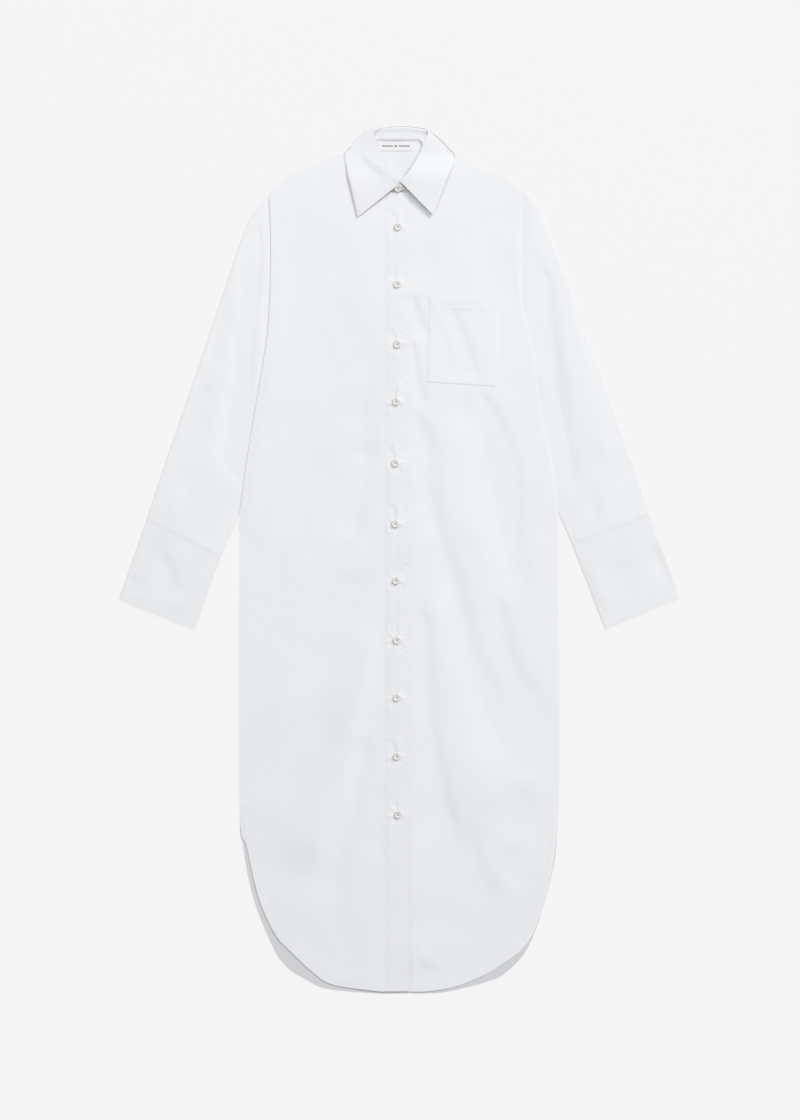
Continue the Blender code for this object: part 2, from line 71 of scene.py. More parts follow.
# Heights of the fronts' top surface over the floor
EDGE = 1.0 * MM               # at the outline, one layer on the back
ROUND_RISE = 0.25 * MM        # over the rounding of the edge
ROUND_REACH = 3.0 * MM
AIR = 2.6 * MM                # and over the air inside
AIR_REACH = 210.0 * MM
ARMHOLE_RISE = {"right": 1.35 * MM, "left": 0.45 * MM}    # more at the armhole, over the sleeve
ARMHOLE_EASE = 40.0 * MM
BAND_STEP = 1.35 * MM         # the right front's rise at the band, over the left front
UNDER_STEP = 0.7 * MM         # the left front's own rise under it
BAND_EASE = 100.0 * MM
BAND_GROOVE = 0.6 * MM        # how far the left front dips beside the band's free edge
BAND_SWELL = 10 * MM          # over this the band rises from its left edge
BAND_LEFT_STEP = 0.1 * MM     # the step that is left there
BAND_FALL = 0.3 * MM          # how much lower its right edge lies
SEAM_PUCKER = 0.13 * MM       # small gathers along the band's stitches
BAND_PLY = 0.3 * MM
BAND_STITCHES = (-18, 10)     # x of the band's two rows of stitches, in mm
SLACK = 0.25 * MM             # a loose crease down the band's middle
LOW_FROM, LOW_OVER = 0.36, 0.06      # metres below the middle where the groove narrows
HEM_TURN = 0.12 * MM          # the hem's second layer
HEM_PUCKER = 0.15 * MM
HEM_LENGTH = 0.75             # metres along one front's hem, for its gathers
HEM_LIFT = {"right": 0.5 * MM, "left": 0.35 * MM}         # how far the hem's round part stands off the back
HEM_LIFT_REACH = 34.0 * MM
HEM_SEED = {"right": 1.0, "left": 2.0}
CLEARANCE = 0.5 * MM          # dips nearer than this to the back are pressed out
FOLD_EASE = 16.0 * MM         # creases fade out this near to the outline

# Heights of the sleeves and cuffs
SLEEVE_EDGE = 1.15 * MM
SLEEVE_ROUND = 0.55 * MM
SLEEVE_AIR = 1.3 * MM
SLEEVE_REACH = 70.0 * MM
CUFF_EDGE = 1.5 * MM
CUFF_ROUND = 0.55 * MM
CUFF_AIR = 0.9 * MM
CUFF_REACH = 65.0 * MM
CUFF_SEAM_STEP = 0.3 * MM     # the cuff's layers over the sleeve's seam
CUFF_PUCKER = 0.05 * MM
CUFF_PLY = 0.7                # share of the interlined cloth's thickness
CUFF_SPAN = 0.12              # metres across a cuff, for its gathers
GATHER = 0.16 * MM            # the pleats where the sleeve is eased into the cuff
TUBE_ROUND = 3.0 * MM

# One row for each half of the body, from the neck out and down to the hem's round corner
Half = namedtuple("Half", "neck shoulder armhole side hem back_side back_hem")
HALVES = {
    "right": Half(
        neck=((-23, 581), (-34, 596), (-44, 623), (-44, 648)),
        shoulder=((-44, 648), (-87, 630), (-155, 604), (-184, 587), (-203, 568)),
        armhole=((-203, 568), (-200, 480), (-205, 356), (-222, 248), (-238, 150), (-249, 69)),
        side=((-249, 69), (-249, -372), (-237, -445), (-219, -523), (-194, -579)),
        hem=((-194, -579), (-168, -608), (-135, -639), (-104, -658), (-34, -668), (-23, -668)),
        back_side=((-249, 69), (-249, -372), (-244, -442), (-228, -523), (-199, -597)),
        back_hem=((-199, -597), (-176, -631), (-145, -651), (-112, -665), (-34, -672), (0, -672)),
    ),
    "left": Half(
        neck=((15, 581), (26, 596), (36, 623), (36, 648)),
        shoulder=((36, 648), (85, 624), (155, 596), (189, 576)),
        armhole=((189, 576), (187, 480), (189, 403), (206, 325), (220, 227), (235, 150), (245, 72)),
        side=((245, 72), (247, -310), (243, -420), (232, -498), (201, -588)),
        hem=((201, -588), (150, -632), (113, -651), (82, -662), (46, -668), (15, -669)),
        back_side=((245, 72), (247, -310), (244, -420), (236, -486), (203, -592)),
        back_hem=((203, -592), (165, -639), (134, -654), (97, -664), (59, -671), (0, -672)),
    ),
}
BACK_SHOWN = (0.55, 0.648)                # y, in metres, between which the back shows in the neck
NECK_AT = {-23: 569, -4: 570, 15: 569}    # neck edge of the layer on top at each column of the band
SLIT_TOP = {"right": -378, "left": -388}  # where each side seam opens into the hem's curve

# A row for each sleeve: its folded outer edge, its inner edge below the armhole and the cuff's end
Sleeve = namedtuple("Sleeve", "outer inner cuff_outer cuff_inner")
SLEEVES = {
    "right": Sleeve(
        outer=((-207, 566), (-228, 536), (-241, 511), (-304, 325), (-368, 139), (-391, 68)),
        inner=((-249.6, 69), (-276, 9)),
        cuff_outer=(-436, -62),
        cuff_inner=(-319, -109),
    ),
    "left": Sleeve(
        outer=((194, 573.5), (218, 547), (231, 511), (299, 325), (365, 139), (386, 76)),
        inner=((245.6, 72), (265, 28)),
        cuff_outer=(435, -59),
        cuff_inner=(318, -108),
    ),
}

POCKET = ((45, 408), (154, 406), (148, 269), (41, 276))
POCKET_HEM = 17
POCKET_INSET = 1.8                        # from the edge to the stitches
LABEL = ((-36, 649), (23, 649), (23, 634), (-36, 634))

# The collar's fall, a row for each section from the right leaf's front edge round the back to the
# left one's: the roll at its top, where it turns down, and its free edge
Fall = namedtuple("Fall", "roll turn edge")
FALL = (
    Fall((-5, 579, 12.5), (-60, 535, 10.9), (-65, 531, 10.2)),
    Fall((-14, 592, 13.2), (-71, 572, 10.7), (-75, 572, 9.8)),
    Fall((-24, 612, 14.5), (-78, 602, 10.5), (-82, 602, 9.2)),
    Fall((-31, 630, 16.0), (-83, 628, 9.0), (-86, 630, 5.5)),
    Fall((-36, 647, 17.0), (-75, 643, 7.5), (-70, 641, 0.0)),
    Fall((-40, 664, 17.5), (-58, 663, 8.0), (-56, 652, 0.0)),
    Fall((-26, 669, 18.0), (-28, 672, 9.0), (-27, 657, 0.0)),
    Fall((0, 672, 18.0), (0, 674, 9.0), (0, 656, 0.0)),
    Fall((26, 670, 18.0), (28, 672, 9.0), (27, 657, 0.0)),
    Fall((43, 665, 17.5), (50, 664, 8.0), (54, 652, 0.0)),
    Fall((37, 648, 17.0), (74, 642, 7.5), (69, 640, 0.0)),
    Fall((30, 630, 16.0), (83, 625, 9.0), (86, 626, 5.5)),
    Fall((18, 608, 14.5), (71, 597, 10.5), (75, 596, 9.2)),
    Fall((8, 594, 13.2), (59, 566, 10.7), (63, 565, 9.8)),
    Fall((0, 586, 12.5), (47, 538, 10.9), (51, 534, 10.2)),
)

CROWN_SHARE, CROWN_RISE, MIDDLE_RISE = 0.14, 0.5, 0.4      # between the roll and the turn, in mm
LOWER_SHARE, LOWER_TUCKED = 0.45, 1.8                      # between the turn and the edge
COLLAR_STITCHED, STAND_STITCHED = 5.0 * MM, 2.0 * MM       # from the edge to the stitches
LEAF_SHARE = 0.27                                          # of the collar's length, in each leaf

# Shares of its height that the visual collar keeps on the right leaf, the left leaf and behind
PRESS_RIGHT, PRESS_LEFT, PRESS_BACK = 0.64, 0.78, 0.24
PRESS_LEAST = 2.6 * MM        # nothing is pressed lower than this

# The collar stand in the same order: its seam with the neck edge and its top below the roll
Stand = namedtuple("Stand", "seam top")
STAND = (
    Stand((8, 573, 5.2), (2, 582.5, 8.6)),
    Stand((-6, 572.5, 4.9), (-8, 587.5, 9.2)),
    Stand((-18, 578.5, 3.8), (-18.5, 597, 10.6)),
    Stand((-32, 600, 2.9), (-26, 612, 12.2)),
    Stand((-42, 623, 2.4), (-33.5, 631, 13.6)),
    Stand((-42, 645, 2.0), (-38, 648, 14.6)),
    Stand((-36, 650.4, 1.5), (-38, 660, 15.2)),
    Stand((-22, 649.9, 1.1), (-25, 666.5, 15.8)),
    Stand((0, 649.9, 1.1), (0, 669, 15.8)),
    Stand((16, 649.9, 1.1), (25, 667, 15.8)),
    Stand((29, 650.2, 1.3), (40, 661, 15.2)),
    Stand((34.5, 645, 1.4), (38.5, 648, 14.6)),
    Stand((34, 623, 1.4), (31.5, 630, 13.6)),
    Stand((23, 601, 2.7), (19, 611, 11.6)),
    Stand((8, 583, 2.8), (10, 597, 8.8)),
    Stand((-4, 573.5, 2.6), (0, 588, 6.6)),
    Stand((-13, 574, 2.6), (-9, 587, 6.0)),
)

# ---------------------------------------------------------------- creases

# path is the crease's steeper wall, and its low or high line lies half a width to the right of the
# path's direction. A ridge has a height above 0, a trough one below. Widths and heights are in mm.
Crease = namedtuple("Crease", "name path width height")
FRONT_CREASES = (
    # the left front, above the waist
    Crease("from the shoulder point", ((152, 500), (168, 462), (176, 430), (184, 386)), 16, -0.7),
    Crease("hollow beside the band", ((30, 508), (50, 470), (66, 425)), 24, -0.7),
    Crease("band to pocket, upper", ((18, 420), (30, 382), (44, 340)), 6, -0.6),
    Crease("band to pocket, lower", ((17, 345), (26, 305), (33, 270), (44, 236)), 6, -0.65),
    Crease("down the pocket", ((78, 406), (88, 375), (98, 350), (108, 325), (114, 300), (119, 268)), 9, -0.7),
    Crease("down the pocket, beside it", ((55, 380), (70, 340), (80, 310), (92, 280)), 8, -0.35),
    Crease("out of the pocket", ((118, 274), (132, 243), (148, 214), (163, 182), (174, 150), (179, 118),
                                 (180, 85), (178, 50), (180, 20), (185, -8), (194, -34), (210, -60)),
           14, -1.1),
    Crease("beside it, wide", ((124, 240), (148, 190), (162, 140), (168, 90), (172, 40)), 26, -0.5),
    Crease("below the pocket", ((96, 264), (108, 235), (124, 200)), 11, -0.45),
    Crease("by the armhole", ((200, 470), (195, 440), (193, 410)), 5, 0.6),
    # the left front, the long ones from the band to the side
    Crease("long trough", ((14, 250), (30, 216), (43, 188), (49, 150), (52, 112), (56, 75), (66, 30),
                           (78, -2), (90, -40), (102, -82), (114, -125), (128, -165), (145, -205),
                           (163, -248), (186, -305)), 14, -1.2),
    Crease("long ridge", ((24, 95), (38, 52), (50, 12), (60, -32), (70, -76), (79, -122), (88, -168),
                          (97, -215), (108, -262), (124, -308), (144, -352), (166, -398)), 24, 0.9),
    Crease("wide ridge", ((66, 262), (80, 205), (95, 150), (110, 85), (130, 30), (150, -5), (182, -50)),
           28, 0.8),
    Crease("skirt trough", ((27, -52), (36, -85), (42, -120), (47, -160), (50, -205), (53, -250), (60, -300),
                            (69, -345), (80, -395), (96, -445)), 12, -1.05),
    Crease("skirt trough, lower", ((66, -345), (73, -420), (80, -480), (88, -540), (100, -600)), 20, -1.3),
    Crease("wide skirt trough", ((92, -400), (108, -470), (126, -540), (140, -600)), 34, -1.2),
    Crease("second skirt trough", ((96, -380), (112, -425), (126, -465), (142, -505), (164, -545)), 18, -0.8),
    Crease("hem ridge", ((124, -425), (145, -468), (168, -500), (202, -540)), 14, 0.5),
    Crease("above the hem ridge", ((146, -432), (168, -450), (192, -478)), 12, -0.3),
    Crease("side trough", ((149, -46), (158, -85), (165, -120), (178, -158), (190, -188), (200, -222),
                           (208, -258), (216, -305), (220, -345)), 14, -1.1),
    Crease("hollow at the side", ((200, -170), (214, -220), (224, -280), (228, -335)), 24, -1.1),
    Crease("hollow at the slit", ((176, -335), (196, -385), (216, -435)), 20, -0.9),
    Crease("corner ridge", ((22, -590), (44, -616), (72, -642)), 12, 0.5),
    Crease("corner trough", ((26, -616), (46, -634), (62, -650)), 10, -0.6),
    Crease("along the band, low", ((24, -500), (28, -550), (27, -600)), 12, -0.5),
    Crease("hollow at the hem", ((104, -545), (150, -580), (182, -588)), 26, -0.7),
    # the right front, above the waist
    Crease("from button three", ((-24, 325), (-40, 285), (-54, 235), (-60, 190)), 10, -0.5),
    Crease("from button four", ((-22, 243), (-36, 218), (-50, 180), (-58, 145)), 9, -0.55),
    Crease("from button five", ((-28, 194), (-38, 165), (-47, 128), (-56, 95), (-63, 60), (-70, 22)),
           12, -0.85),
    Crease("from button six", ((-45, -6), (-55, -35), (-68, -55), (-82, -80), (-100, -110)), 14, -0.65),
    Crease("inside the armhole", ((-176, 330), (-180, 240), (-190, 160), (-198, 80), (-190, 10)), 24, 0.5),
    # the right front's skirt
    Crease("skirt ridge", ((-26, -88), (-42, -118), (-50, -150), (-56, -190), (-62, -230), (-70, -280),
                           (-79, -325), (-90, -370), (-108, -405), (-124, -445), (-142, -495)), 16, 1.35),
    Crease("wide skirt ridge", ((-40, -130), (-56, -200), (-72, -285), (-94, -370), (-128, -430),
                                (-165, -505)), 30, 1.1),
    Crease("beside the ridge", ((-46, -262), (-54, -300), (-61, -340), (-67, -385), (-78, -430), (-92, -480),
                                (-104, -535)), 12, -0.95),
    Crease("along the band", ((-27, -338), (-28, -385), (-30, -425), (-28, -472)), 9, -0.4),
    Crease("wide hollow", ((-92, -205), (-112, -265), (-142, -330), (-188, -400)), 22, -0.75),
    Crease("hollow over the corner", ((-204, -508), (-160, -524), (-105, -514)), 18, 0.5),
    Crease("at the hem", ((-60, -560), (-72, -610), (-70, -645)), 16, -0.4),
)
SLEEVE_CREASES = (
    Crease("right, along the armhole", ((-217, 534), (-224, 465), (-225, 410), (-233, 333),
                                        (-239, 255), (-247, 178), (-255, 108)), 9, -1.8),
    Crease("right, down the middle", ((-262, 420), (-285, 330), (-306, 235), (-318, 150)), 20, -0.6),
    Crease("right, at the elbow", ((-250, 300), (-286, 262), (-310, 250)), 14, 0.35),
    Crease("right, above the cuff", ((-330, 120), (-344, 78), (-350, 50)), 9, 0.5),
    Crease("left, along the armhole", ((215, 480), (232, 403), (241, 341), (249, 276), (255, 217),
                                       (267, 147), (282, 93)), 11, -1.0),
    Crease("left, down the middle", ((262, 420), (286, 330), (305, 240), (330, 140)), 18, 0.5),
    Crease("left, above the cuff", ((296, 120), (304, 80), (300, 52)), 9, -0.6),
)
CUFF_CREASES = (
    Crease("right, across", ((-373, 26), (-362, 0), (-350, -28), (-337, -66)), 9, -0.6),
    Crease("right, low", ((-396, -22), (-402, -44), (-404, -60)), 11, -0.4),
    Crease("right, outer", ((-402, 30), (-412, -12), (-414, -50)), 14, 0.3),
    Crease("left, across", ((330, 20), (352, -30), (372, -74)), 14, -0.35),
    Crease("left, outer", ((392, 40), (408, -5), (420, -50)), 16, -0.6),
    Crease("left, inner", ((292, 12), (312, -36), (324, -82)), 11, 0.3),
)
BACK_CREASES = (
    Crease("inside the neck, ridge", ((-20, 640), (-19, 616), (-22, 590)), 6, 0.5),
    Crease("inside the neck, trough", ((0, 632), (6, 612), (11, 592)), 6, -0.3),
)
COLLAR_CREASES = (
    Crease("right leaf, along the roll", ((-66, 632), (-50, 612), (-34, 600), (-12, 583)), 9, -1.3),
    Crease("left leaf, along the edge", ((84, 628), (66, 590), (52, 556)), 7, 0.35),
)

# How hard the cloth pulls at each button of the band, from the top down
PULLS = (0.55, 0.6, 0.75, 0.95, 1.0, 0.95, 1.0, 1.1, 0.95, 1.0, 0.85)
# Directions of the pulls in degrees from +X, with their lengths in mm
Pull = namedtuple("Pull", "turn length height")
PULL_RAYS = (Pull(58, 20, -0.6), Pull(122, 22, -0.75), Pull(-50, 13, -0.4), Pull(-130, 14, -0.55),
             Pull(92, 26, 0.35), Pull(-150, 15, 0.4), Pull(178, 14, -0.35), Pull(14, 12, 0.3))
PULL_WIDTH = 2.4
PULL_START = 3.5     # mm from the button's middle

# Low uneven waves all over a piece: the seed, the typical wavelength and the height in mm
Waves = namedtuple("Waves", "seed length height")
BODY_WAVES = (Waves(3, 170, 0.16), Waves(11, 58, 0.055), Waves(19, 24, 0.026))
SLEEVE_WAVES = (Waves(5, 110, 0.11), Waves(23, 46, 0.045), Waves(29, 22, 0.022))
CUFF_WAVES = (Waves(7, 60, 0.08), Waves(31, 26, 0.035))
COLLAR_WAVES = (Waves(9, 60, 0.06), Waves(37, 24, 0.022))
WAVES_EACH = 12

# ---------------------------------------------------------------- grid sizes

FRONT_ROWS, FRONT_COLUMNS, NECK_SHARE, UNDER_COLUMNS = 400, 96, 12, 14
BACK_ROWS, BACK_COLUMNS = 170, 44
BAND_ROWS, BAND_COLUMNS = 860, 40
SLEEVE_ROWS, SLEEVE_COLUMNS = 190, 44
CUFF_ROWS, CUFF_COLUMNS = 52, 60
COLLAR_ROWS, COLLAR_COLUMNS = 260, 44
STAND_ROWS, STAND_COLUMNS = 220, 12
POCKET_COLUMNS, POCKET_ROWS = 64, 76
LABEL_COLUMNS, LABEL_ROWS = 48, 14
MARK_GRID = 12


# ---------------------------------------------------------------- settings a user would change

class DressCloth(bpy.types.PropertyGroup):
    """Thicknesses, stitches and creases of the cloth"""

    ply: FloatProperty(
        name="Ply", description="Thickness of one layer of poplin", default=0.45 * MM,
        min=0.2 * MM, max=1.0 * MM, unit="LENGTH", precision=5)
    interlined: FloatProperty(
        name="Interlined", description="Thickness of the collar, stand and cuffs", default=0.9 * MM,
        min=0.4 * MM, max=1.2 * MM, unit="LENGTH", precision=5)
    band: FloatProperty(
        name="Band", description="Height of the button band over the front it is sewn on",
        default=0.35 * MM, min=0.2 * MM, max=1.6 * MM, unit="LENGTH", precision=5)
    crease: FloatProperty(
        name="Creases", description="Share of the creases' full height", default=1.75, min=0.0,
        max=3.0, subtype="FACTOR")
    stitch_pitch: FloatProperty(
        name="Stitch pitch", description="From one stitch to the next", default=2.8 * MM,
        min=1.5 * MM, max=5.0 * MM, unit="LENGTH", precision=5)
    thread: FloatProperty(
        name="Thread", description="Width of the sewing thread", default=0.42 * MM, min=0.2 * MM,
        max=0.8 * MM, unit="LENGTH", precision=5)
    hem: FloatProperty(
        name="Hem", description="From the hem's edge to its stitches", default=8.0 * MM,
        min=4.0 * MM, max=25.0 * MM, unit="LENGTH", precision=4)
    button_rings: IntProperty(
        name="Button rings", description="Rings of faces from a button's middle to its rim",
        default=26, min=12, max=60)


class DressColours(bpy.types.PropertyGroup):
    """Colours of the cloth and trims"""

    poplin: FloatVectorProperty(
        name="Poplin", description="Colour of the body and sleeves", default=(0.835, 0.845, 0.865),
        size=3, min=0.0, max=1.0, subtype="COLOR")
    interlined: FloatVectorProperty(
        name="Interlined poplin", description="Colour of the collar, stand and cuffs",
        default=(0.824, 0.832, 0.852), size=3, min=0.0, max=1.0, subtype="COLOR")
    inside: FloatVectorProperty(
        name="Inside", description="Colour of the back's inner side", default=(0.82, 0.83, 0.845),
        size=3, min=0.0, max=1.0, subtype="COLOR")
    shaded: FloatVectorProperty(
        name="Inside, shaded", description="Colour of the back's inner side where it shows past the hem",
        default=(0.66, 0.67, 0.69), size=3, min=0.0, max=1.0, subtype="COLOR")
    thread: FloatVectorProperty(
        name="Thread", description="Colour of the sewing thread", default=(0.84, 0.85, 0.87),
        size=3, min=0.0, max=1.0, subtype="COLOR")
    button: FloatVectorProperty(
        name="Button", description="Colour of the buttons' resin", default=(0.78, 0.77, 0.73),
        size=3, min=0.0, max=1.0, subtype="COLOR")
    tape: FloatVectorProperty(
        name="Label tape", description="Colour of the neck label", default=(0.82, 0.825, 0.84),
        size=3, min=0.0, max=1.0, subtype="COLOR")
    mark: FloatVectorProperty(
        name="Label mark", description="Colour of the mark woven in the label",
        default=(0.05, 0.05, 0.055), size=3, min=0.0, max=1.0, subtype="COLOR")


class DressStudio(bpy.types.PropertyGroup):
    """Floor, lights and camera"""

    floor: FloatVectorProperty(
        name="Floor", description="Colour of the floor", default=(0.912, 0.912, 0.912), size=3,
        min=0.0, max=1.0, subtype="COLOR")
    glow: FloatProperty(
        name="Even floor", description="Share of the floor's brightness that no shadow changes",
        default=0.94, min=0.0, max=1.0, subtype="FACTOR")
    key: FloatProperty(
        name="Key light", description="Power of the distant soft light", default=1440.0, min=0.0,
        unit="POWER")
    top: FloatProperty(
        name="Top light", description="Power of the light above the collar's end", default=22.0,
        min=0.0, unit="POWER")
    fill: FloatProperty(
        name="Fill", description="Brightness of the light from straight above", default=0.78, min=0.0)
    height: FloatProperty(
        name="Camera height", description="Height of the camera over the floor", default=4.1,
        min=1.0, unit="LENGTH")
    framed: FloatProperty(
        name="Framed length", description="Length of floor that the frame's long side takes in",
        default=1.736, min=0.5, unit="LENGTH")


# ---------------------------------------------------------------- curves and heights

def smooth(points, count, scale=MM):
    """count points at even distances along a curve through the table's points, in metres."""
    knots = np.array(points, float) * scale
    knots = np.vstack([2 * knots[0] - knots[1], knots, 2 * knots[-1] - knots[-2]])
    steps = np.linspace(0, 1, 16, endpoint=False)[:, None]
    dense = []
    for before, start, end, after in zip(knots, knots[1:], knots[2:], knots[3:]):
        rise, turn = end - before, 2 * before - 5 * start + 4 * end - after
        curl = 3 * (start - end) + after - before
        dense.append(start + 0.5 * (rise * steps + turn * steps**2 + curl * steps**3))
    dense = np.vstack(dense + [knots[-2:-1]])
    return spread(dense, count)


def spread(line, count):
    """count points at even distances along a polyline."""
    along = np.concatenate([[0], np.cumsum(np.linalg.norm(np.diff(line, axis=0), axis=1))])
    at = np.linspace(0, along[-1], count)
    return np.column_stack([np.interp(at, along, line[:, k]) for k in range(line.shape[1])])


def nearest(x, y, line):
    """Distance in plan from each point to a polyline, the share along it of the nearest place, and
    1 on the polyline's left or -1 on its right."""
    best = np.full(np.shape(x), 1e9)
    where, side = np.zeros(np.shape(x)), np.ones(np.shape(x))
    for k, (a, b) in enumerate(zip(line, line[1:])):
        run = b - a
        if not run.any():
            continue
        t = np.clip(((x - a[0]) * run[0] + (y - a[1]) * run[1]) / (run @ run), 0, 1)
        d = np.hypot(x - a[0] - t * run[0], y - a[1] - t * run[1])
        nearer = d < best
        best = np.where(nearer, d, best)
        where = np.where(nearer, (k + t) / (len(line) - 1), where)
        side = np.where(nearer, np.sign(run[0] * (y - a[1]) - run[1] * (x - a[0])), side)
    return best, where, side


def distance(x, y, line):
    return nearest(x, y, line)[0]


def ease(t):
    """Smooth step from 0 to 1."""
    t = np.clip(t, 0, 1)
    return t * t * (3 - 2 * t)


def swell(d, reach):
    """Rise from 0 at an edge to 1 at reach, steep at the edge and level inside."""
    return 1 - (1 - np.clip(d / reach, 0, 1)) ** 2


# A crease fades in and out over so many widths, but at least the first share of its length and at
# most the second
FADE_IN, FADE_OUT = (3.5, 0.15, 0.4), (3, 0.14, 0.5)
GENTLE = 2.1         # the gentle side is so much wider than the steep one
CREASE_REACH = 5     # widths past which a crease is nothing
START_WIDTH, GROWN_WIDTH, END_WIDTH = 0.35, 0.65, 0.25      # shares of the width


def fade_length(fade, width, length):
    widths, least, most = fade
    return min(max(widths * width, least * length), most * length)


def creases(x, y, table):
    """Height added by a table's creases. Each has a steep wall on its path and a slope twice as wide
    on the right of its direction. It starts as a point and fades out over its last part."""
    total = np.zeros(np.shape(x))
    for crease in table:
        width = crease.width * MM
        line = smooth(crease.path, 8 * len(crease.path))
        length = np.linalg.norm(np.diff(line, axis=0), axis=1).sum()
        reach = CREASE_REACH * width
        low, high = line.min(0) - reach, line.max(0) + reach
        close = (x > low[0]) & (x < high[0]) & (y > low[1]) & (y < high[1])
        if not close.any():
            continue
        d, along, side = nearest(x[close], y[close], line)
        from_middle = side * d + 0.5 * width * ease(along * 3)
        started = ease(along * length / fade_length(FADE_IN, width, length))
        fade = started * ease((1 - along) * length / fade_length(FADE_OUT, width, length))
        sides = np.where(from_middle > 0, width, GENTLE * width)
        spread_by = sides * (START_WIDTH + GROWN_WIDTH * started + END_WIDTH * along)
        total[close] += crease.height * MM * fade * np.exp(-((from_middle / spread_by) ** 2))
    return total


def waves(x, y, table):
    """Low uneven waves, each a sum of seeded plane waves on a slightly bent grid."""
    total = np.zeros(np.shape(x))
    for row in table:
        draw = np.random.default_rng(row.seed)
        length = row.length * MM
        bent_x = x + 0.25 * length * np.sin(2 * np.pi * y / (2.7 * length) + row.seed)
        bent_y = y + 0.25 * length * np.sin(2 * np.pi * x / (3.1 * length) + 2 * row.seed)
        for _ in range(WAVES_EACH):
            turn, phase = draw.uniform(0, np.pi), draw.uniform(0, 2 * np.pi)
            step = length * draw.uniform(0.6, 1.7)
            run = bent_x * np.cos(turn) + 0.6 * bent_y * np.sin(turn)
            total += row.height * MM / np.sqrt(WAVES_EACH) * np.sin(2 * np.pi * run / step + phase)
    return total


def puckers(along, seed):
    """From -1 to 1 along a seam, uneven in spacing: the small gathers between stitches."""
    return (np.sin(2 * np.pi * along / 0.0091 + seed) * 0.6
            + np.sin(2 * np.pi * along / 0.0147 + 2.3 * seed) * 0.4)


def side_and_hem(side, hem, count=200):
    """The side edge and the hem as one curve, cut in two at the hem's round corner."""
    whole = smooth(side + hem[1:], count)
    corner = np.array(side[-1]) * MM
    cut = int(np.argmin(np.linalg.norm(whole - corner, axis=1)))
    return whole[:cut + 1], whole[cut:]


def half_outline(half):
    """The front's outline on one side, from the centre front neck to the hem's lowest point."""
    above = [smooth(edge, 16) for edge in (half.neck, half.shoulder, half.armhole)]
    below = [spread(edge, 30) for edge in side_and_hem(half.side, half.hem)]
    return np.vstack(above + below)


def hem_curve(side):
    """The slit and the hem of one front as one curve from the slit's top."""
    half = HALVES[side]
    whole = smooth(half.side + half.hem[1:], 400)
    return whole[whole[:, 1] < SLIT_TOP[side] * MM]


def inset(line, by):
    """A plan curve moved by that much to the right of its own direction."""
    along = np.gradient(line, axis=0)
    along /= np.linalg.norm(along, axis=1)[:, None]
    return line + by * np.column_stack([along[:, 1], -along[:, 0]])


OUTLINES = {name: half_outline(half) for name, half in HALVES.items()}
HEMS = {name: hem_curve(name) for name in HALVES}


def button_places():
    """Centres of the band's buttons and tops of its surface there, from the frame."""
    places = []
    for number in range(1, len(PULLS) + 1):
        low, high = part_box(f"button_{number:02d}")
        places.append(((low.x + high.x) / 2, (low.y + high.y) / 2, low.z))
    return places


def button_pulls():
    """Short creases round each button of the band, uneven from one to the next."""
    draw = np.random.default_rng(41)
    table = []
    for (x, y, _), strength in zip(button_places(), PULLS):
        for ray in PULL_RAYS:
            turn = radians(ray.turn + draw.uniform(-14, 14))
            far = ray.length * draw.uniform(0.7, 1.35)
            heading = np.array((np.cos(turn), np.sin(turn)))
            start = np.array((x, y)) / MM + PULL_START * heading
            end = start + far * heading
            height = ray.height * strength * draw.uniform(0.55, 1.3)
            path = tuple(start), tuple((start + end) / 2), tuple(end)
            table.append(Crease("pull", path, PULL_WIDTH, height))
    return tuple(table)


def body_height(x, y, crease):
    """Height of the top surface that both fronts share."""
    d = np.minimum(distance(x, y, OUTLINES["right"]), distance(x, y, OUTLINES["left"]))
    height = EDGE + ROUND_RISE * swell(d, ROUND_REACH) + AIR * swell(d, AIR_REACH)
    fade = ease(d / FOLD_EASE)
    height += crease * (creases(x, y, FRONT_CREASES) + waves(x, y, BODY_WAVES)) * fade
    for side, half in HALVES.items():
        to_armhole = distance(x, y, smooth(half.armhole, 40))
        height += ARMHOLE_RISE[side] * (1 - ease(to_armhole / ARMHOLE_EASE))
    room = (height - EDGE) / CLEARANCE
    return EDGE + CLEARANCE * np.where(room > 1, room, np.exp(np.minimum(room, 1) - 1))


def bump_line(d, at, width):
    """1 at that distance from a line, falling to 0 on both sides."""
    return np.exp(-(((d - at) / width) ** 2))


def hem_height(x, y, side, hem):
    """The turned hem: a second layer up to its stitches, puckered along them."""
    d, along, _ = nearest(x, y, HEMS[side][::3])
    turned = HEM_TURN * (1 - ease((d - hem) / (2.0 * MM)))
    swung = np.sin(np.pi * np.clip(along * 1.1 - 0.1, 0, 1)) ** 0.8
    lifted = HEM_LIFT[side] * (1 - ease(d / HEM_LIFT_REACH)) * swung
    gathered = HEM_PUCKER * bump_line(d, hem, 4.5 * MM) * puckers(along * HEM_LENGTH, HEM_SEED[side])
    return turned + lifted + gathered


def front_height(x, y, side, cloth):
    height = body_height(x, y, cloth.crease) + hem_height(x, y, side, cloth.hem)
    if side == "right":
        rise = BAND_STEP * ease((x - BAND_LEFT + BAND_EASE) / BAND_EASE)
    else:
        rise = UNDER_STEP * ease((BAND_RIGHT + BAND_EASE - x) / BAND_EASE)
        low_down = ease((-y - LOW_FROM) / LOW_OVER)
        away = np.maximum(x - BAND_RIGHT, 0) / ((9 - 5.5 * low_down) * MM)
        depth = BAND_GROOVE * (0.7 + 0.6 * low_down)
        rise -= depth * np.exp(-away) * ease((x - BAND_MIDDLE) / (12 * MM))
    return height + rise


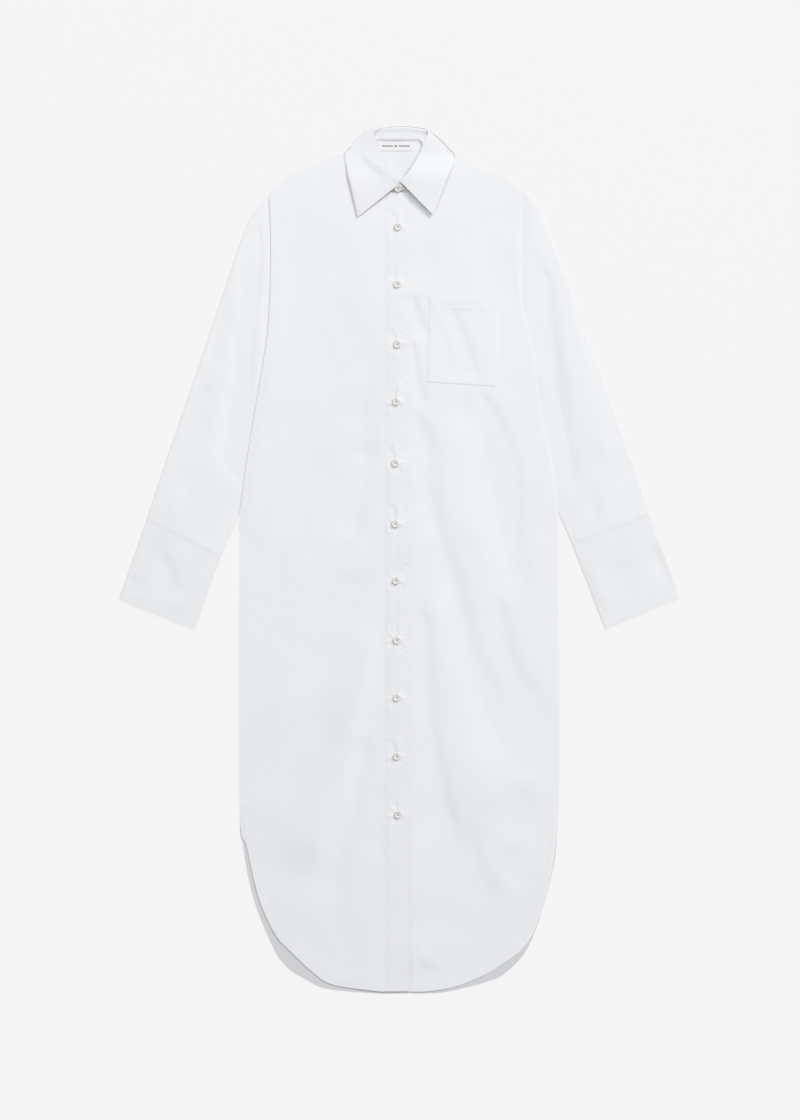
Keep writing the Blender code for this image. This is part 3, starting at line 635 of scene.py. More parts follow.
def band_height(x, y, cloth):
    """Top of the button band: nearly flush at its left edge, pulled round the buttons and puckered."""
    height = front_height(x, y, "right", cloth) + cloth.band
    from_left, from_right = x - BAND_LEFT, BAND_RIGHT - x
    height -= (cloth.band - BAND_LEFT_STEP) * (1 - swell(from_left, BAND_SWELL))
    height -= BAND_FALL * ease((x + 2 * MM) / (17 * MM))
    inside = ease(from_left / (3 * MM)) * ease(from_right / (3 * MM))
    height += cloth.crease * creases(x, y, button_pulls()) * inside
    at_left, at_right = (bump_line(d, 5 * MM, 3.5 * MM) for d in (from_left, from_right))
    low_down = 0.35 + 0.65 * ease((-y - 0.30) / 0.20)
    height += SEAM_PUCKER * (at_left * puckers(y, 3.0) * low_down + at_right * puckers(y, 4.0))
    slack = bump_line(x, -5 * MM, 3 * MM) * ease((0.05 - y) / 0.03) * ease((y + 0.12) / 0.03)
    return height - SLACK * slack


# ---------------------------------------------------------------- meshes

def mesh_piece(name, points, faces, finish):
    """A named smooth-shaded mesh with one material, its edges over 40 degrees sharp."""
    mesh = bpy.data.meshes.new(name)
    mesh.from_pydata(np.asarray(points).tolist(), [], [list(face) for face in faces])
    mesh.update()
    mesh.shade_smooth()
    mesh.set_sharp_from_angle(angle=radians(40))
    mesh.materials.append(finish)
    piece = bpy.data.objects.new(name, mesh)
    bpy.context.scene.collection.objects.link(piece)
    return piece


def grid_quads(rows, columns, flip=False):
    """Quads of a grid numbered row by row, facing up where rows run down (-Y) and columns to +X."""
    k = (np.arange(rows - 1)[:, None] * columns + np.arange(columns - 1)).ravel()
    quads = np.column_stack([k, k + columns, k + columns + 1, k + 1])
    return quads[:, ::-1] if flip else quads


def shell(name, outer, inner, quads, finish):
    """A closed thin shell between a surface and its inner copy, with a rim along every free edge."""
    count = len(outer)
    edges = np.concatenate([quads[:, [k, (k + 1) % 4]] for k in range(4)])
    forward = edges[:, 0] * count + edges[:, 1]
    reverse = edges[:, 1] * count + edges[:, 0]
    free = edges[~np.isin(reverse, forward)]
    rim = np.column_stack([free[:, 1], free[:, 0], free[:, 0] + count, free[:, 1] + count])
    faces = np.concatenate([quads, quads[:, ::-1] + count, rim])
    return mesh_piece(name, np.vstack([outer, inner]), faces.tolist(), finish)


def panel(name, plan, top, ply, finish):
    """A flat-lying panel from a grid of plan points (rows, columns, 2) and its top surface."""
    rows, columns = plan.shape[:2]
    flip = np.cross(plan[-1, 0] - plan[0, 0], plan[0, -1] - plan[0, 0]) < 0
    upper = np.concatenate([plan, top[..., None]], axis=2).reshape(-1, 3)
    return shell(name, upper, upper - (0, 0, ply), grid_quads(rows, columns, flip), finish)


def patch(top, bottom, left, right):
    """Plan points blended between four edges; top and bottom run along u, left and right down v."""
    u = np.linspace(0, 1, len(top))[None, :, None]
    v = np.linspace(0, 1, len(left))[:, None, None]
    across = (1 - u) * left[:, None] + u * right[:, None]
    down = (1 - v) * top[None] + v * bottom[None]
    corners = ((1 - u) * (1 - v) * top[0] + u * (1 - v) * top[-1]
               + (1 - u) * v * bottom[0] + u * v * bottom[-1])
    return across + down - corners


def declare(piece, node):
    """The piece stands for its node, which it hides, and rides on the dress."""
    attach(piece, BODY)
    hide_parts(node)


def trim(piece):
    """A small piece sewn on the cloth, such as its stitching."""
    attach(piece, BODY)
    return piece


# ---------------------------------------------------------------- stitches

# A stitch from end to end: the share of its length, and of its width and height there
STITCH_RINGS = ((-0.5, 0.35), (-0.3, 1.0), (0.3, 1.0), (0.5, 0.35))
STITCH_PROFILE = ((-0.5, -0.2), (-0.42, 0.3), (0.0, 0.62), (0.42, 0.3), (0.5, -0.2))


def stitch_points(centre, along, up, length, width):
    side = np.cross(up, along)
    return [centre + along * (share * length) + side * (across * scale * width) + up * (rise * scale * width)
            for share, scale in STITCH_RINGS for across, rise in STITCH_PROFILE]


def stitch_faces():
    ring = len(STITCH_PROFILE)
    faces = []
    for r in range(len(STITCH_RINGS) - 1):
        for c in range(ring):
            n = (c + 1) % ring
            faces.append((r * ring + c, (r + 1) * ring + c, (r + 1) * ring + n, r * ring + n))
    last = (len(STITCH_RINGS) - 1) * ring
    return [tuple(range(ring))] + faces + [tuple(range(last, last + ring))[::-1]]


def sew(name, runs, cloth, finish):
    """One mesh of stitches along runs, each an array of points and surface normals side by side (n, 6)."""
    points, faces, once = [], [], stitch_faces()
    for run in runs:
        length = np.linalg.norm(np.diff(run[:, :3], axis=0), axis=1).sum()
        run = spread(run, max(2, int(length / cloth.stitch_pitch)) + 1)
        for a, b in zip(run, run[1:]):
            along = (b - a)[:3]
            pitch = np.linalg.norm(along)
            up = (a + b)[3:] / np.linalg.norm((a + b)[3:])
            start = len(points)
            points += stitch_points((a + b)[:3] / 2, along / pitch, up, 0.78 * pitch, cloth.thread)
            faces += [tuple(start + k for k in face) for face in once]
    return trim(mesh_piece(name, points, faces, finish))


def on_surface(line, height):
    """A run along a plan line on the surface that height(x, y) gives."""
    step = 0.5 * MM
    x, y = line[:, 0], line[:, 1]
    z = height(x, y)
    slope_x = (height(x + step, y) - height(x - step, y)) / (2 * step)
    slope_y = (height(x, y + step) - height(x, y - step)) / (2 * step)
    normal = np.column_stack([-slope_x, -slope_y, np.ones(len(x))])
    normal /= np.linalg.norm(normal, axis=1)[:, None]
    return np.column_stack([x, y, z, normal])


def straight(a, b, step=2.0):
    """A straight plan line in metres between two points of a table, with a point every step mm."""
    a, b = np.array(a, float), np.array(b, float)
    count = max(2, int(np.linalg.norm(b - a) / step) + 1)
    return np.linspace(a, b, count) * MM


# ---------------------------------------------------------------- finishes

THREADS = 2600.0            # scale of the threads' noise
SHADE_CHANGE = 0.012        # how much the cloth's colour varies each way
INNER_SHADE = (-0.20, -0.45)       # y, in metres, where the inner side turns to its shaded colour


def weave_group():
    """Shader group of plain-weave poplin: the cloth's height and its slight change of shade."""
    name = "poplin weave"
    group = bpy.data.node_groups.get(name)
    if group:
        return group
    group = bpy.data.node_groups.new(name, "ShaderNodeTree")
    sockets = group.interface
    sockets.new_socket("Threads", in_out="INPUT", socket_type="NodeSocketFloat").default_value = THREADS
    sockets.new_socket("Slub", in_out="INPUT", socket_type="NodeSocketFloat").default_value = 90.0
    sockets.new_socket("Height", in_out="OUTPUT", socket_type="NodeSocketFloat")
    sockets.new_socket("Shade", in_out="OUTPUT", socket_type="NodeSocketFloat")
    nodes, links = group.nodes, group.links
    take, give = nodes.new("NodeGroupInput"), nodes.new("NodeGroupOutput")
    place = nodes.new("ShaderNodeTexCoord")
    heights = []
    for stretch_x, stretch_y in ((1.0, 0.06), (0.06, 1.0)):
        mapping = nodes.new("ShaderNodeMapping")
        mapping.inputs["Scale"].default_value = (stretch_x, stretch_y, 1.0)
        thread = nodes.new("ShaderNodeTexNoise")
        thread.inputs["Detail"].default_value = 1.0
        links.new(place.outputs["Object"], mapping.inputs["Vector"])
        links.new(mapping.outputs["Vector"], thread.inputs["Vector"])
        links.new(take.outputs["Threads"], thread.inputs["Scale"])
        heights.append(thread)
    crossed = nodes.new("ShaderNodeMath")
    crossed.operation = "ADD"
    links.new(heights[0].outputs["Fac"], crossed.inputs[0])
    links.new(heights[1].outputs["Fac"], crossed.inputs[1])
    slub = nodes.new("ShaderNodeTexNoise")
    slub.inputs["Detail"].default_value = 3.0
    links.new(place.outputs["Object"], slub.inputs["Vector"])
    links.new(take.outputs["Slub"], slub.inputs["Scale"])
    raised = nodes.new("ShaderNodeMath")
    raised.operation = "MULTIPLY_ADD"
    raised.inputs[1].default_value = 1.4
    links.new(slub.outputs["Fac"], raised.inputs[0])
    links.new(crossed.outputs[0], raised.inputs[2])
    links.new(raised.outputs[0], give.inputs["Height"])
    cloud = nodes.new("ShaderNodeTexNoise")
    cloud.inputs["Scale"].default_value = 9.0
    cloud.inputs["Detail"].default_value = 2.0
    links.new(place.outputs["Object"], cloud.inputs["Vector"])
    mixed = nodes.new("ShaderNodeMath")
    mixed.operation = "MULTIPLY_ADD"
    mixed.inputs[1].default_value = 0.35
    links.new(crossed.outputs[0], mixed.inputs[0])
    links.new(cloud.outputs["Fac"], mixed.inputs[2])
    links.new(mixed.outputs[0], give.inputs["Shade"])
    return group


def finish(name, colour, roughness):
    """A named material with a Principled shader, or the one already made."""
    made = bpy.data.materials.get(name)
    if made:
        return made, None
    made = bpy.data.materials.new(name)
    made.use_nodes = True
    shader = made.node_tree.nodes["Principled BSDF"]
    shader.inputs["Base Color"].default_value = (*colour, 1)
    shader.inputs["Roughness"].default_value = roughness
    return made, shader


def cloth_finish(name, colour, relief=0.05 * MM):
    """Woven cotton: the weave group drives a bump and a slight change of colour."""
    made, shader = finish(name, colour, 0.82)
    if shader is None:
        return made
    shader.inputs["Specular IOR Level"].default_value = 0.25
    shader.inputs["Sheen Weight"].default_value = 0.08
    shader.inputs["Sheen Roughness"].default_value = 0.5
    nodes, links = made.node_tree.nodes, made.node_tree.links
    weave = nodes.new("ShaderNodeGroup")
    weave.node_tree = weave_group()
    weave.inputs["Threads"].default_value = THREADS
    bump = nodes.new("ShaderNodeBump")
    bump.inputs["Strength"].default_value = 0.6
    bump.inputs["Distance"].default_value = relief
    links.new(weave.outputs["Height"], bump.inputs["Height"])
    links.new(bump.outputs["Normal"], shader.inputs["Normal"])
    ramp = nodes.new("ShaderNodeValToRGB")
    ramp.color_ramp.elements[0].position = 0.45
    ramp.color_ramp.elements[0].color = (*(value - SHADE_CHANGE for value in colour), 1)
    ramp.color_ramp.elements[1].color = (*(min(1.0, value + SHADE_CHANGE) for value in colour), 1)
    links.new(weave.outputs["Shade"], ramp.inputs["Fac"])
    links.new(ramp.outputs["Color"], shader.inputs["Base Color"])
    return made


def shade_towards_hem(made, shaded):
    """Darkens the inner side towards the hem, where it lies in the front hem's shade."""
    nodes, links = made.node_tree.nodes, made.node_tree.links
    shader, ramp = nodes["Principled BSDF"], nodes["Color Ramp"]
    place, split = nodes.new("ShaderNodeTexCoord"), nodes.new("ShaderNodeSeparateXYZ")
    down = nodes.new("ShaderNodeMapRange")
    down.inputs["From Min"].default_value, down.inputs["From Max"].default_value = INNER_SHADE
    mix = nodes.new("ShaderNodeMix")
    mix.data_type = "RGBA"
    mix.inputs["B"].default_value = (*shaded, 1)
    links.new(place.outputs["Object"], split.inputs["Vector"])
    links.new(split.outputs["Y"], down.inputs["Value"])
    links.new(down.outputs["Result"], mix.inputs["Factor"])
    links.new(ramp.outputs["Color"], mix.inputs["A"])
    links.new(mix.outputs["Result"], shader.inputs["Base Color"])
    return made


def thread_finish(colour, shade=1.0):
    """Twisted sewing thread, darker on the buttons."""
    name = "sewing thread" if shade == 1.0 else "button thread"
    made, shader = finish(name, tuple(value * shade for value in colour), 0.6)
    if shader is None:
        return made
    nodes, links = made.node_tree.nodes, made.node_tree.links
    place, twist = nodes.new("ShaderNodeTexCoord"), nodes.new("ShaderNodeTexWave")
    twist.bands_direction = "DIAGONAL"
    twist.inputs["Scale"].default_value = 900.0
    bump = nodes.new("ShaderNodeBump")
    bump.inputs["Distance"].default_value = 0.04 * MM
    links.new(place.outputs["Object"], twist.inputs["Vector"])
    links.new(twist.outputs["Fac"], bump.inputs["Height"])
    links.new(bump.outputs["Normal"], shader.inputs["Normal"])
    return made


def button_finish(colour):
    """Polished cream resin with faint clouds."""
    made, shader = finish("button resin", colour, 0.28)
    if shader is None:
        return made
    shader.inputs["Coat Weight"].default_value = 0.3
    shader.inputs["Coat Roughness"].default_value = 0.2
    nodes, links = made.node_tree.nodes, made.node_tree.links
    place, cloud = nodes.new("ShaderNodeTexCoord"), nodes.new("ShaderNodeTexNoise")
    cloud.inputs["Scale"].default_value = 260.0
    cloud.inputs["Distortion"].default_value = 1.5
    ramp = nodes.new("ShaderNodeValToRGB")
    ramp.color_ramp.elements[0].color = (*(0.93 * value for value in colour), 1)
    ramp.color_ramp.elements[1].color = (*(min(1.0, 1.06 * value) for value in colour), 1)
    links.new(place.outputs["Object"], cloud.inputs["Vector"])
    links.new(cloud.outputs["Fac"], ramp.inputs["Fac"])
    links.new(ramp.outputs["Color"], shader.inputs["Base Color"])
    return made


def tape_finish(colour):
    """Satin tape with fine ribs across it."""
    made, shader = finish("label tape", colour, 0.5)
    if shader is None:
        return made
    nodes, links = made.node_tree.nodes, made.node_tree.links
    place, ribs = nodes.new("ShaderNodeTexCoord"), nodes.new("ShaderNodeTexWave")
    ribs.bands_direction = "Y"
    ribs.inputs["Scale"].default_value = 800.0
    bump = nodes.new("ShaderNodeBump")
    bump.inputs["Distance"].default_value = 0.03 * MM
    links.new(place.outputs["Object"], ribs.inputs["Vector"])
    links.new(ribs.outputs["Fac"], bump.inputs["Height"])
    links.new(bump.outputs["Normal"], shader.inputs["Normal"])
    return made


def poplin(colours):
    return cloth_finish("white poplin", colours.poplin)


def interlined(colours):
    return cloth_finish("interlined poplin", colours.interlined, relief=0.035 * MM)


# ---------------------------------------------------------------- the body's panels

def inset_armhole(half, inward, count=24):
    """The armhole line moved in under the front; it meets the front's edge at both of its ends."""
    line = smooth(half.armhole, count)
    share = np.linspace(0, 1, count)
    lap = ARMHOLE_LAP * ease(share * 5) * ease((1 - share) * 5)
    return line + np.column_stack([inward * (lap + SEAM), np.zeros(count)])


def front_plan(side):
    """Grid of one front: its columns under the band, then a patch out to the side seam."""
    half = HALVES[side]
    neck = smooth(half.neck, NECK_SHARE + 1)
    shoulder = smooth(half.shoulder, FRONT_COLUMNS - NECK_SHARE)
    top = spread(np.vstack([neck, shoulder[1:]]), FRONT_COLUMNS)
    side_edge, hem_edge = side_and_hem(half.side, half.hem, 600)
    bottom = spread(hem_edge[::-1], FRONT_COLUMNS)
    left = np.column_stack([np.linspace(top[0, k], bottom[0, k], FRONT_ROWS) for k in (0, 1)])
    down = spread(np.vstack([smooth(half.armhole, 200), side_edge[1:]]), FRONT_ROWS)
    outer = patch(top, bottom, left, down)
    start = BAND_RIGHT - SEAM if side == "right" else BAND_LEFT + SEAM
    columns = []
    for x in np.linspace(start, left[0, 0], UNDER_COLUMNS)[:-1]:
        neck_y = np.interp(x / MM, list(NECK_AT), list(NECK_AT.values())) * MM
        y = np.linspace(neck_y, bottom[0, 1], FRONT_ROWS)
        columns.append(np.column_stack([np.full(FRONT_ROWS, x), y]))
    return np.concatenate([np.stack(columns, axis=1), outer], axis=1)


def make_front(side, cloth, colours):
    plan = front_plan(side)
    height = front_height(plan[..., 0], plan[..., 1], side, cloth)
    piece = panel(f"front_{side}_cloth", plan, height, cloth.ply, poplin(colours))
    line = inset(HEMS[side][::3], cloth.hem if side == "left" else -cloth.hem)

    def top(x, y):
        return front_height(x, y, side, cloth)

    seam = sew(f"front_{side}_hem_stitches", [on_surface(line, top)], cloth, thread_finish(colours.thread))
    declare(piece, f"front_{side}")


def back_plan():
    parts = {}
    for side, half in HALVES.items():
        inward = 1 if side == "right" else -1
        neck_edge = smooth(((-4, 649.5), half.shoulder[0]), 12)
        shoulder = smooth(half.shoulder, BACK_COLUMNS - 11) + (inward * SEAM, -SEAM)
        top = np.vstack([neck_edge, shoulder[1:]])
        side_edge, hem_edge = side_and_hem(half.back_side, half.back_hem, 400)
        side_line = side_edge + (inward * SEAM, 0)
        down = np.vstack([inset_armhole(half, inward, 60) + (inward * SEAM, 0), side_line[1:]])
        bottom = spread(hem_edge[::-1], len(top))
        bottom[0, 0] = BAND_MIDDLE
        centre = np.column_stack([np.linspace(top[0, k], bottom[0, k], BACK_ROWS) for k in (0, 1)])
        parts[side] = patch(top, bottom, centre, spread(down, BACK_ROWS))
    return np.concatenate([parts["right"][:, :0:-1], parts["left"]], axis=1)


def back_height(x, y, cloth):
    """The back's inner side: flat on the floor, with low creases where it shows inside the neck."""
    low, high = BACK_SHOWN
    shown = ease((y - low) / 0.03) * ease((high - y) / 0.012)
    raised = np.maximum(0, 0.3 * MM + cloth.crease * creases(x, y, BACK_CREASES))
    return cloth.ply + 0.02 * MM + raised * shown


def make_back(cloth, colours):
    plan = back_plan()
    height = back_height(plan[..., 0], plan[..., 1], cloth)
    inside = shade_towards_hem(cloth_finish("poplin, inside", colours.inside), colours.shaded)
    piece = panel("back_cloth", plan, height, cloth.ply, inside)
    declare(piece, "back")


def make_band(cloth, colours):
    low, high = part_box("placket")
    x = BAND_LEFT + (BAND_RIGHT - BAND_LEFT) * (1 - np.cos(np.linspace(0, np.pi, BAND_COLUMNS))) / 2
    y = np.linspace(high.y, low.y, BAND_ROWS)
    plan = np.stack(np.meshgrid(x, y), axis=2)
    top = band_height(plan[..., 0], plan[..., 1], cloth)
    piece = panel("band_cloth", plan, top, BAND_PLY, interlined(colours))

    def height(px, py):
        return band_height(px, py, cloth)

    top_y, hem_y = high.y / MM, low.y / MM
    runs = [on_surface(straight((edge, top_y - 3), (edge, hem_y + 3)), height) for edge in BAND_STITCHES]
    hem = hem_y + cloth.hem / MM
    runs.append(on_surface(straight((-22, hem), (14, hem)), height))
    seam = sew("band_stitches", runs, cloth, thread_finish(colours.thread))
    holes = buttonholes(height, cloth, colours)
    declare(piece, "placket")


ShortStitch = namedtuple("ShortStitch", "thread stitch_pitch")
HOLE_HALF, BAR_WIDTH, BAR_STEP, BAR_GAP = 7.2, 1.15, 0.6, 0.3      # mm, of a buttonhole
TACK_HALF, TACK_STEP, TACK_BARS = 1.5, 0.45, 3


def short_stitch(cloth):
    """Settings of a bar that is one stitch long, in a finer thread."""
    return ShortStitch(cloth.thread * 0.9, 10 * MM)


def buttonholes(height, cloth, colours):
    """Upright buttonholes: two columns of short bars with a bar tack at each end."""
    bars = []
    for x, y, _ in button_places():
        x, y = x / MM, y / MM
        for level in np.arange(-HOLE_HALF, HOLE_HALF + BAR_STEP / 2, BAR_STEP):
            for side in (-1, 1):
                near, far = x + side * BAR_GAP, x + side * (BAR_GAP + BAR_WIDTH)
                bars.append(straight((near, y + level), (far, y + level), 2))
        for end in (-1, 1):
            for k in range(TACK_BARS):
                row = y + end * (HOLE_HALF + 0.5 + TACK_STEP * k)
                bars.append(straight((x - TACK_HALF, row), (x + TACK_HALF, row), 4))
    runs = np.split(on_surface(np.vstack(bars), height), len(bars))
    return sew("buttonholes", runs, short_stitch(cloth), thread_finish(colours.thread))


def pocket_height(x, y, cloth):
    """The pocket lies on the left front, a little proud, rounded down at its sewn edges."""
    corners = np.array(POCKET + POCKET[:1], float) * MM
    d = distance(x, y, corners)
    open_edge = distance(x, y, corners[:2])
    height = front_height(x, y, "left", cloth) + cloth.ply + 0.06 * MM
    for edge, drop in ((corners[3:], 0.42 * MM), (corners[1:3], 0.25 * MM)):
        height -= drop * (1 - swell(distance(x, y, edge), 4 * MM)) * ease(open_edge / (5 * MM))
    height += 0.15 * MM * swell(d, 16 * MM) + 0.35 * MM * bump_line(open_edge, 0, 14 * MM)
    height += 0.10 * MM * (1 - ease((open_edge - (POCKET_HEM + 1) * MM) / (3 * MM)))
    hem_line = bump_line(open_edge, POCKET_HEM * MM, 7 * MM) * ease(d / (6 * MM))
    height += 0.16 * MM * hem_line * puckers(0.6 * x + 0.2 * y, 7.0)
    height += 0.07 * MM * bump_line(d, 1.6 * MM, 3 * MM) * puckers(x + y, 5.0)
    return height


def make_pocket(cloth, colours):
    corners = np.array(POCKET, float) * MM
    counts = ((0, 1, POCKET_COLUMNS), (3, 2, POCKET_COLUMNS), (0, 3, POCKET_ROWS), (1, 2, POCKET_ROWS))
    plan = patch(*(np.linspace(corners[a], corners[b], count) for a, b, count in counts))

    def height(x, y):
        return pocket_height(x, y, cloth)

    piece = panel("pocket_cloth", plan, height(plan[..., 0], plan[..., 1]), cloth.ply, poplin(colours))
    (a_x, a_y), (b_x, b_y), (c_x, c_y), (d_x, d_y) = POCKET
    hem = POCKET_HEM + 2
    low_left, low_right = (d_x + POCKET_INSET, d_y + POCKET_INSET), (c_x - POCKET_INSET, c_y + POCKET_INSET)
    runs = [
        straight((a_x + POCKET_INSET, a_y - 1), low_left),
        straight(low_left, low_right),
        straight(low_right, (b_x - POCKET_INSET, b_y - 1)),
        straight((a_x + POCKET_INSET, a_y - hem), (b_x - POCKET_INSET, b_y - hem)),
    ]
    runs = [on_surface(run, height) for run in runs]
    seam = sew("pocket_stitches", runs, cloth, thread_finish(colours.thread))
    declare(piece, "pocket")


def label_height(x, y, cloth):
    ends = np.minimum(x - LABEL[0][0] * MM, LABEL[1][0] * MM - x)
    return back_height(x, y, cloth) + 0.35 * MM + 0.3 * MM * swell(ends, 8 * MM)


def make_label(cloth, colours):
    corners = np.array(LABEL, float) * MM
    counts = ((0, 1, LABEL_COLUMNS), (3, 2, LABEL_COLUMNS), (0, 3, LABEL_ROWS), (1, 2, LABEL_ROWS))
    plan = patch(*(np.linspace(corners[a], corners[b], count) for a, b, count in counts))

    def height(x, y):
        return label_height(x, y, cloth)

    top = height(plan[..., 0], plan[..., 1])
    piece = panel("neck_label_tape", plan, top, 0.25 * MM, tape_finish(colours.tape))
    mark = make_mark(height, colours)
    left, right = LABEL[0][0] + 1.5, LABEL[1][0] - 1.5
    ends = [straight((x, LABEL[0][1] - 1), (x, LABEL[2][1] + 1)) for x in (left, right)]
    runs = [on_surface(end, height) for end in ends]
    seam = sew("neck_label_stitches", runs, cloth, thread_finish(colours.thread))
    declare(piece, "neck_label")


def make_mark(height, colours):
    """A plain woven mark: a thin line, a small lozenge and a thin line."""
    middle_x, middle_y = (LABEL[0][0] + LABEL[1][0]) / 2, (LABEL[0][1] + LABEL[2][1]) / 2
    bar, gap, half, lozenge_x, lozenge_y = 17.0, 4.5, 0.75, 2.2, 1.7
    shapes = []
    for side in (-1, 1):
        near, far = middle_x + side * gap, middle_x + side * (gap + bar)
        shapes.append([(min(near, far), middle_y - half), (max(near, far), middle_y - half),
                       (max(near, far), middle_y + half), (min(near, far), middle_y + half)])
    shapes.append([(middle_x - lozenge_x, middle_y), (middle_x, middle_y - lozenge_y),
                   (middle_x + lozenge_x, middle_y), (middle_x, middle_y + lozenge_y)])
    points, faces = [], []
    side_points, count = MARK_GRID, MARK_GRID ** 2
    for shape in shapes:
        grid = patch(*(np.linspace(np.array(shape[a]), np.array(shape[b]), side_points) * MM
                       for a, b in ((3, 2), (0, 1), (3, 0), (2, 1))))
        z = height(grid[..., 0], grid[..., 1])
        start = len(points)
        for lift in (0.06 * MM, -0.05 * MM):
            points += np.concatenate([grid, (z + lift)[..., None]], axis=2).reshape(-1, 3).tolist()
        quads = grid_quads(side_points, side_points)
        faces += (quads + start).tolist() + (quads[:, ::-1] + start + count).tolist()
        index = np.arange(count).reshape(side_points, side_points)
        ring = np.concatenate([index[0], index[1:, -1], index[-1, -2::-1], index[-2:0:-1, 0]]).tolist()
        for a, b in zip(ring, ring[1:] + ring[:1]):
            faces.append([start + a, start + b, start + b + count, start + a + count])
    made, _ = finish("label mark", colours.mark, 0.6)
    return trim(mesh_piece("neck_label_mark", points, faces, made))


# ---------------------------------------------------------------- sleeves and cuffs

def tube(name, outer, inner, height, ply, made, columns, mouth_rows=0, cap=False):
    """A flattened tube between two edges, folded at both but open down the inner one's mouth_rows rows.

    height(x, y) gives its top surface; it lies on the floor. A cap folds it shut at its first row.
    """
    rows = len(outer)
    across = (1 - np.cos(np.linspace(0, np.pi, columns))) / 2
    plan = outer[:, None] * (1 - across[None, :, None]) + inner[:, None] * across[None, :, None]
    inward = inner - outer
    inward = inward / np.linalg.norm(inward, axis=1)[:, None]
    top = height(plan[..., 0], plan[..., 1])
    ring = np.concatenate([
        np.concatenate([plan, top[..., None]], axis=2),
        np.concatenate([plan, np.zeros_like(top)[..., None]], axis=2)[:, ::-1],
    ], axis=1)
    lining = ring.copy()
    lining[:, :columns, 2] -= ply
    lining[:, columns:, 2] += ply
    step = np.column_stack([inward, np.zeros(rows)]) * ply
    for c in (0, 2 * columns - 1):
        lining[:, c] += step
    for c in (columns - 1, columns):
        lining[mouth_rows:, c] -= step[mouth_rows:]
    if cap:
        down = np.append(plan[1].mean(0) - plan[0].mean(0), 0)
        lining[0] += down / np.linalg.norm(down) * ply
    around = 2 * columns
    quads = []
    for r in range(rows - 1):
        for c in range(around):
            if c == columns - 1 and r < mouth_rows:
                continue
            n = (c + 1) % around
            quads.append((r * around + c, (r + 1) * around + c, (r + 1) * around + n, r * around + n))
    if cap:
        for c in range(columns - 1):
            quads.append((c, c + 1, around - 2 - c, around - 1 - c))
    quads = np.array(quads)
    if np.cross(plan[-1, 0] - plan[0, 0], plan[0, -1] - plan[0, 0]) < 0:
        quads = quads[:, ::-1]
    return shell(name, ring.reshape(-1, 3), lining.reshape(-1, 3), quads, made), plan


def sleeve_lines(side):
    """Outer and inner edges of a sleeve and how many of its rows are open under the front."""
    sleeve, half = SLEEVES[side], HALVES[side]
    inward = 1 if side == "right" else -1
    mouth = inset_armhole(half, inward, 60) - (inward * 2 * SEAM, 0)
    seam = smooth(sleeve.inner, 20)
    inner = spread(np.vstack([mouth[1:], seam]), SLEEVE_ROWS)
    outer = smooth(sleeve.outer, SLEEVE_ROWS)
    return outer, inner, int(np.argmin(np.abs(inner[:, 1] - seam[0, 1])))


def gathers(x, y, start, end, seed):
    """Small pleats where the sleeve is eased into the cuff, strongest at the seam."""
    start, end = np.array(start) * MM, np.array(end) * MM
    run = end - start
    width = np.linalg.norm(run)
    along = ((x - start[0]) * run[0] + (y - start[1]) * run[1]) / width
    away = np.abs((x - start[0]) * run[1] - (y - start[1]) * run[0]) / width
    fine, wide = 2 * np.pi * along / (15 * MM), 2 * np.pi * along / (26 * MM)
    pleats = np.sin(fine + seed) + 0.7 * np.sin(wide + 2 * seed)
    near_end = 0.35 + 0.65 * np.exp(-((width - along) / (30 * MM)) ** 2)
    inside = ease(along / (8 * MM)) * ease((width - along) / (8 * MM))
    return GATHER * near_end * pleats * np.exp(-away / (15 * MM)) * inside


def make_sleeve(side, cloth, colours):
    sleeve = SLEEVES[side]
    outer, inner, mouth_rows = sleeve_lines(side)
    folded = (np.vstack([outer[::6], outer[-1:]]), np.vstack([inner[mouth_rows::3], inner[-1:]]))
    mouth = inner[:mouth_rows:5]
    seed = 1.0 if side == "right" else 2.6

    def height(x, y):
        d = np.minimum(distance(x, y, folded[0]), distance(x, y, folded[1]))
        from_mouth = distance(x, y, mouth)
        rise = SLEEVE_EDGE + SLEEVE_ROUND * swell(d, TUBE_ROUND) * (0.3 + 0.7 * ease(from_mouth / (24 * MM)))
        rise += SLEEVE_AIR * swell(np.minimum(d, np.maximum(from_mouth - ARMHOLE_LAP, 0)), SLEEVE_REACH)
        shape = creases(x, y, SLEEVE_CREASES) + waves(x, y, SLEEVE_WAVES)
        shape = shape * ease(np.minimum(d, from_mouth) / (14 * MM))
        shape += gathers(x, y, sleeve.outer[-1], sleeve.inner[-1], seed)
        return np.maximum(rise + cloth.crease * shape, SLEEVE_EDGE)

    piece, plan = tube(f"sleeve_{side}_cloth", outer, inner, height, cloth.ply, poplin(colours),
                       SLEEVE_COLUMNS, mouth_rows, True)
    declare(piece, f"sleeve_{side}")


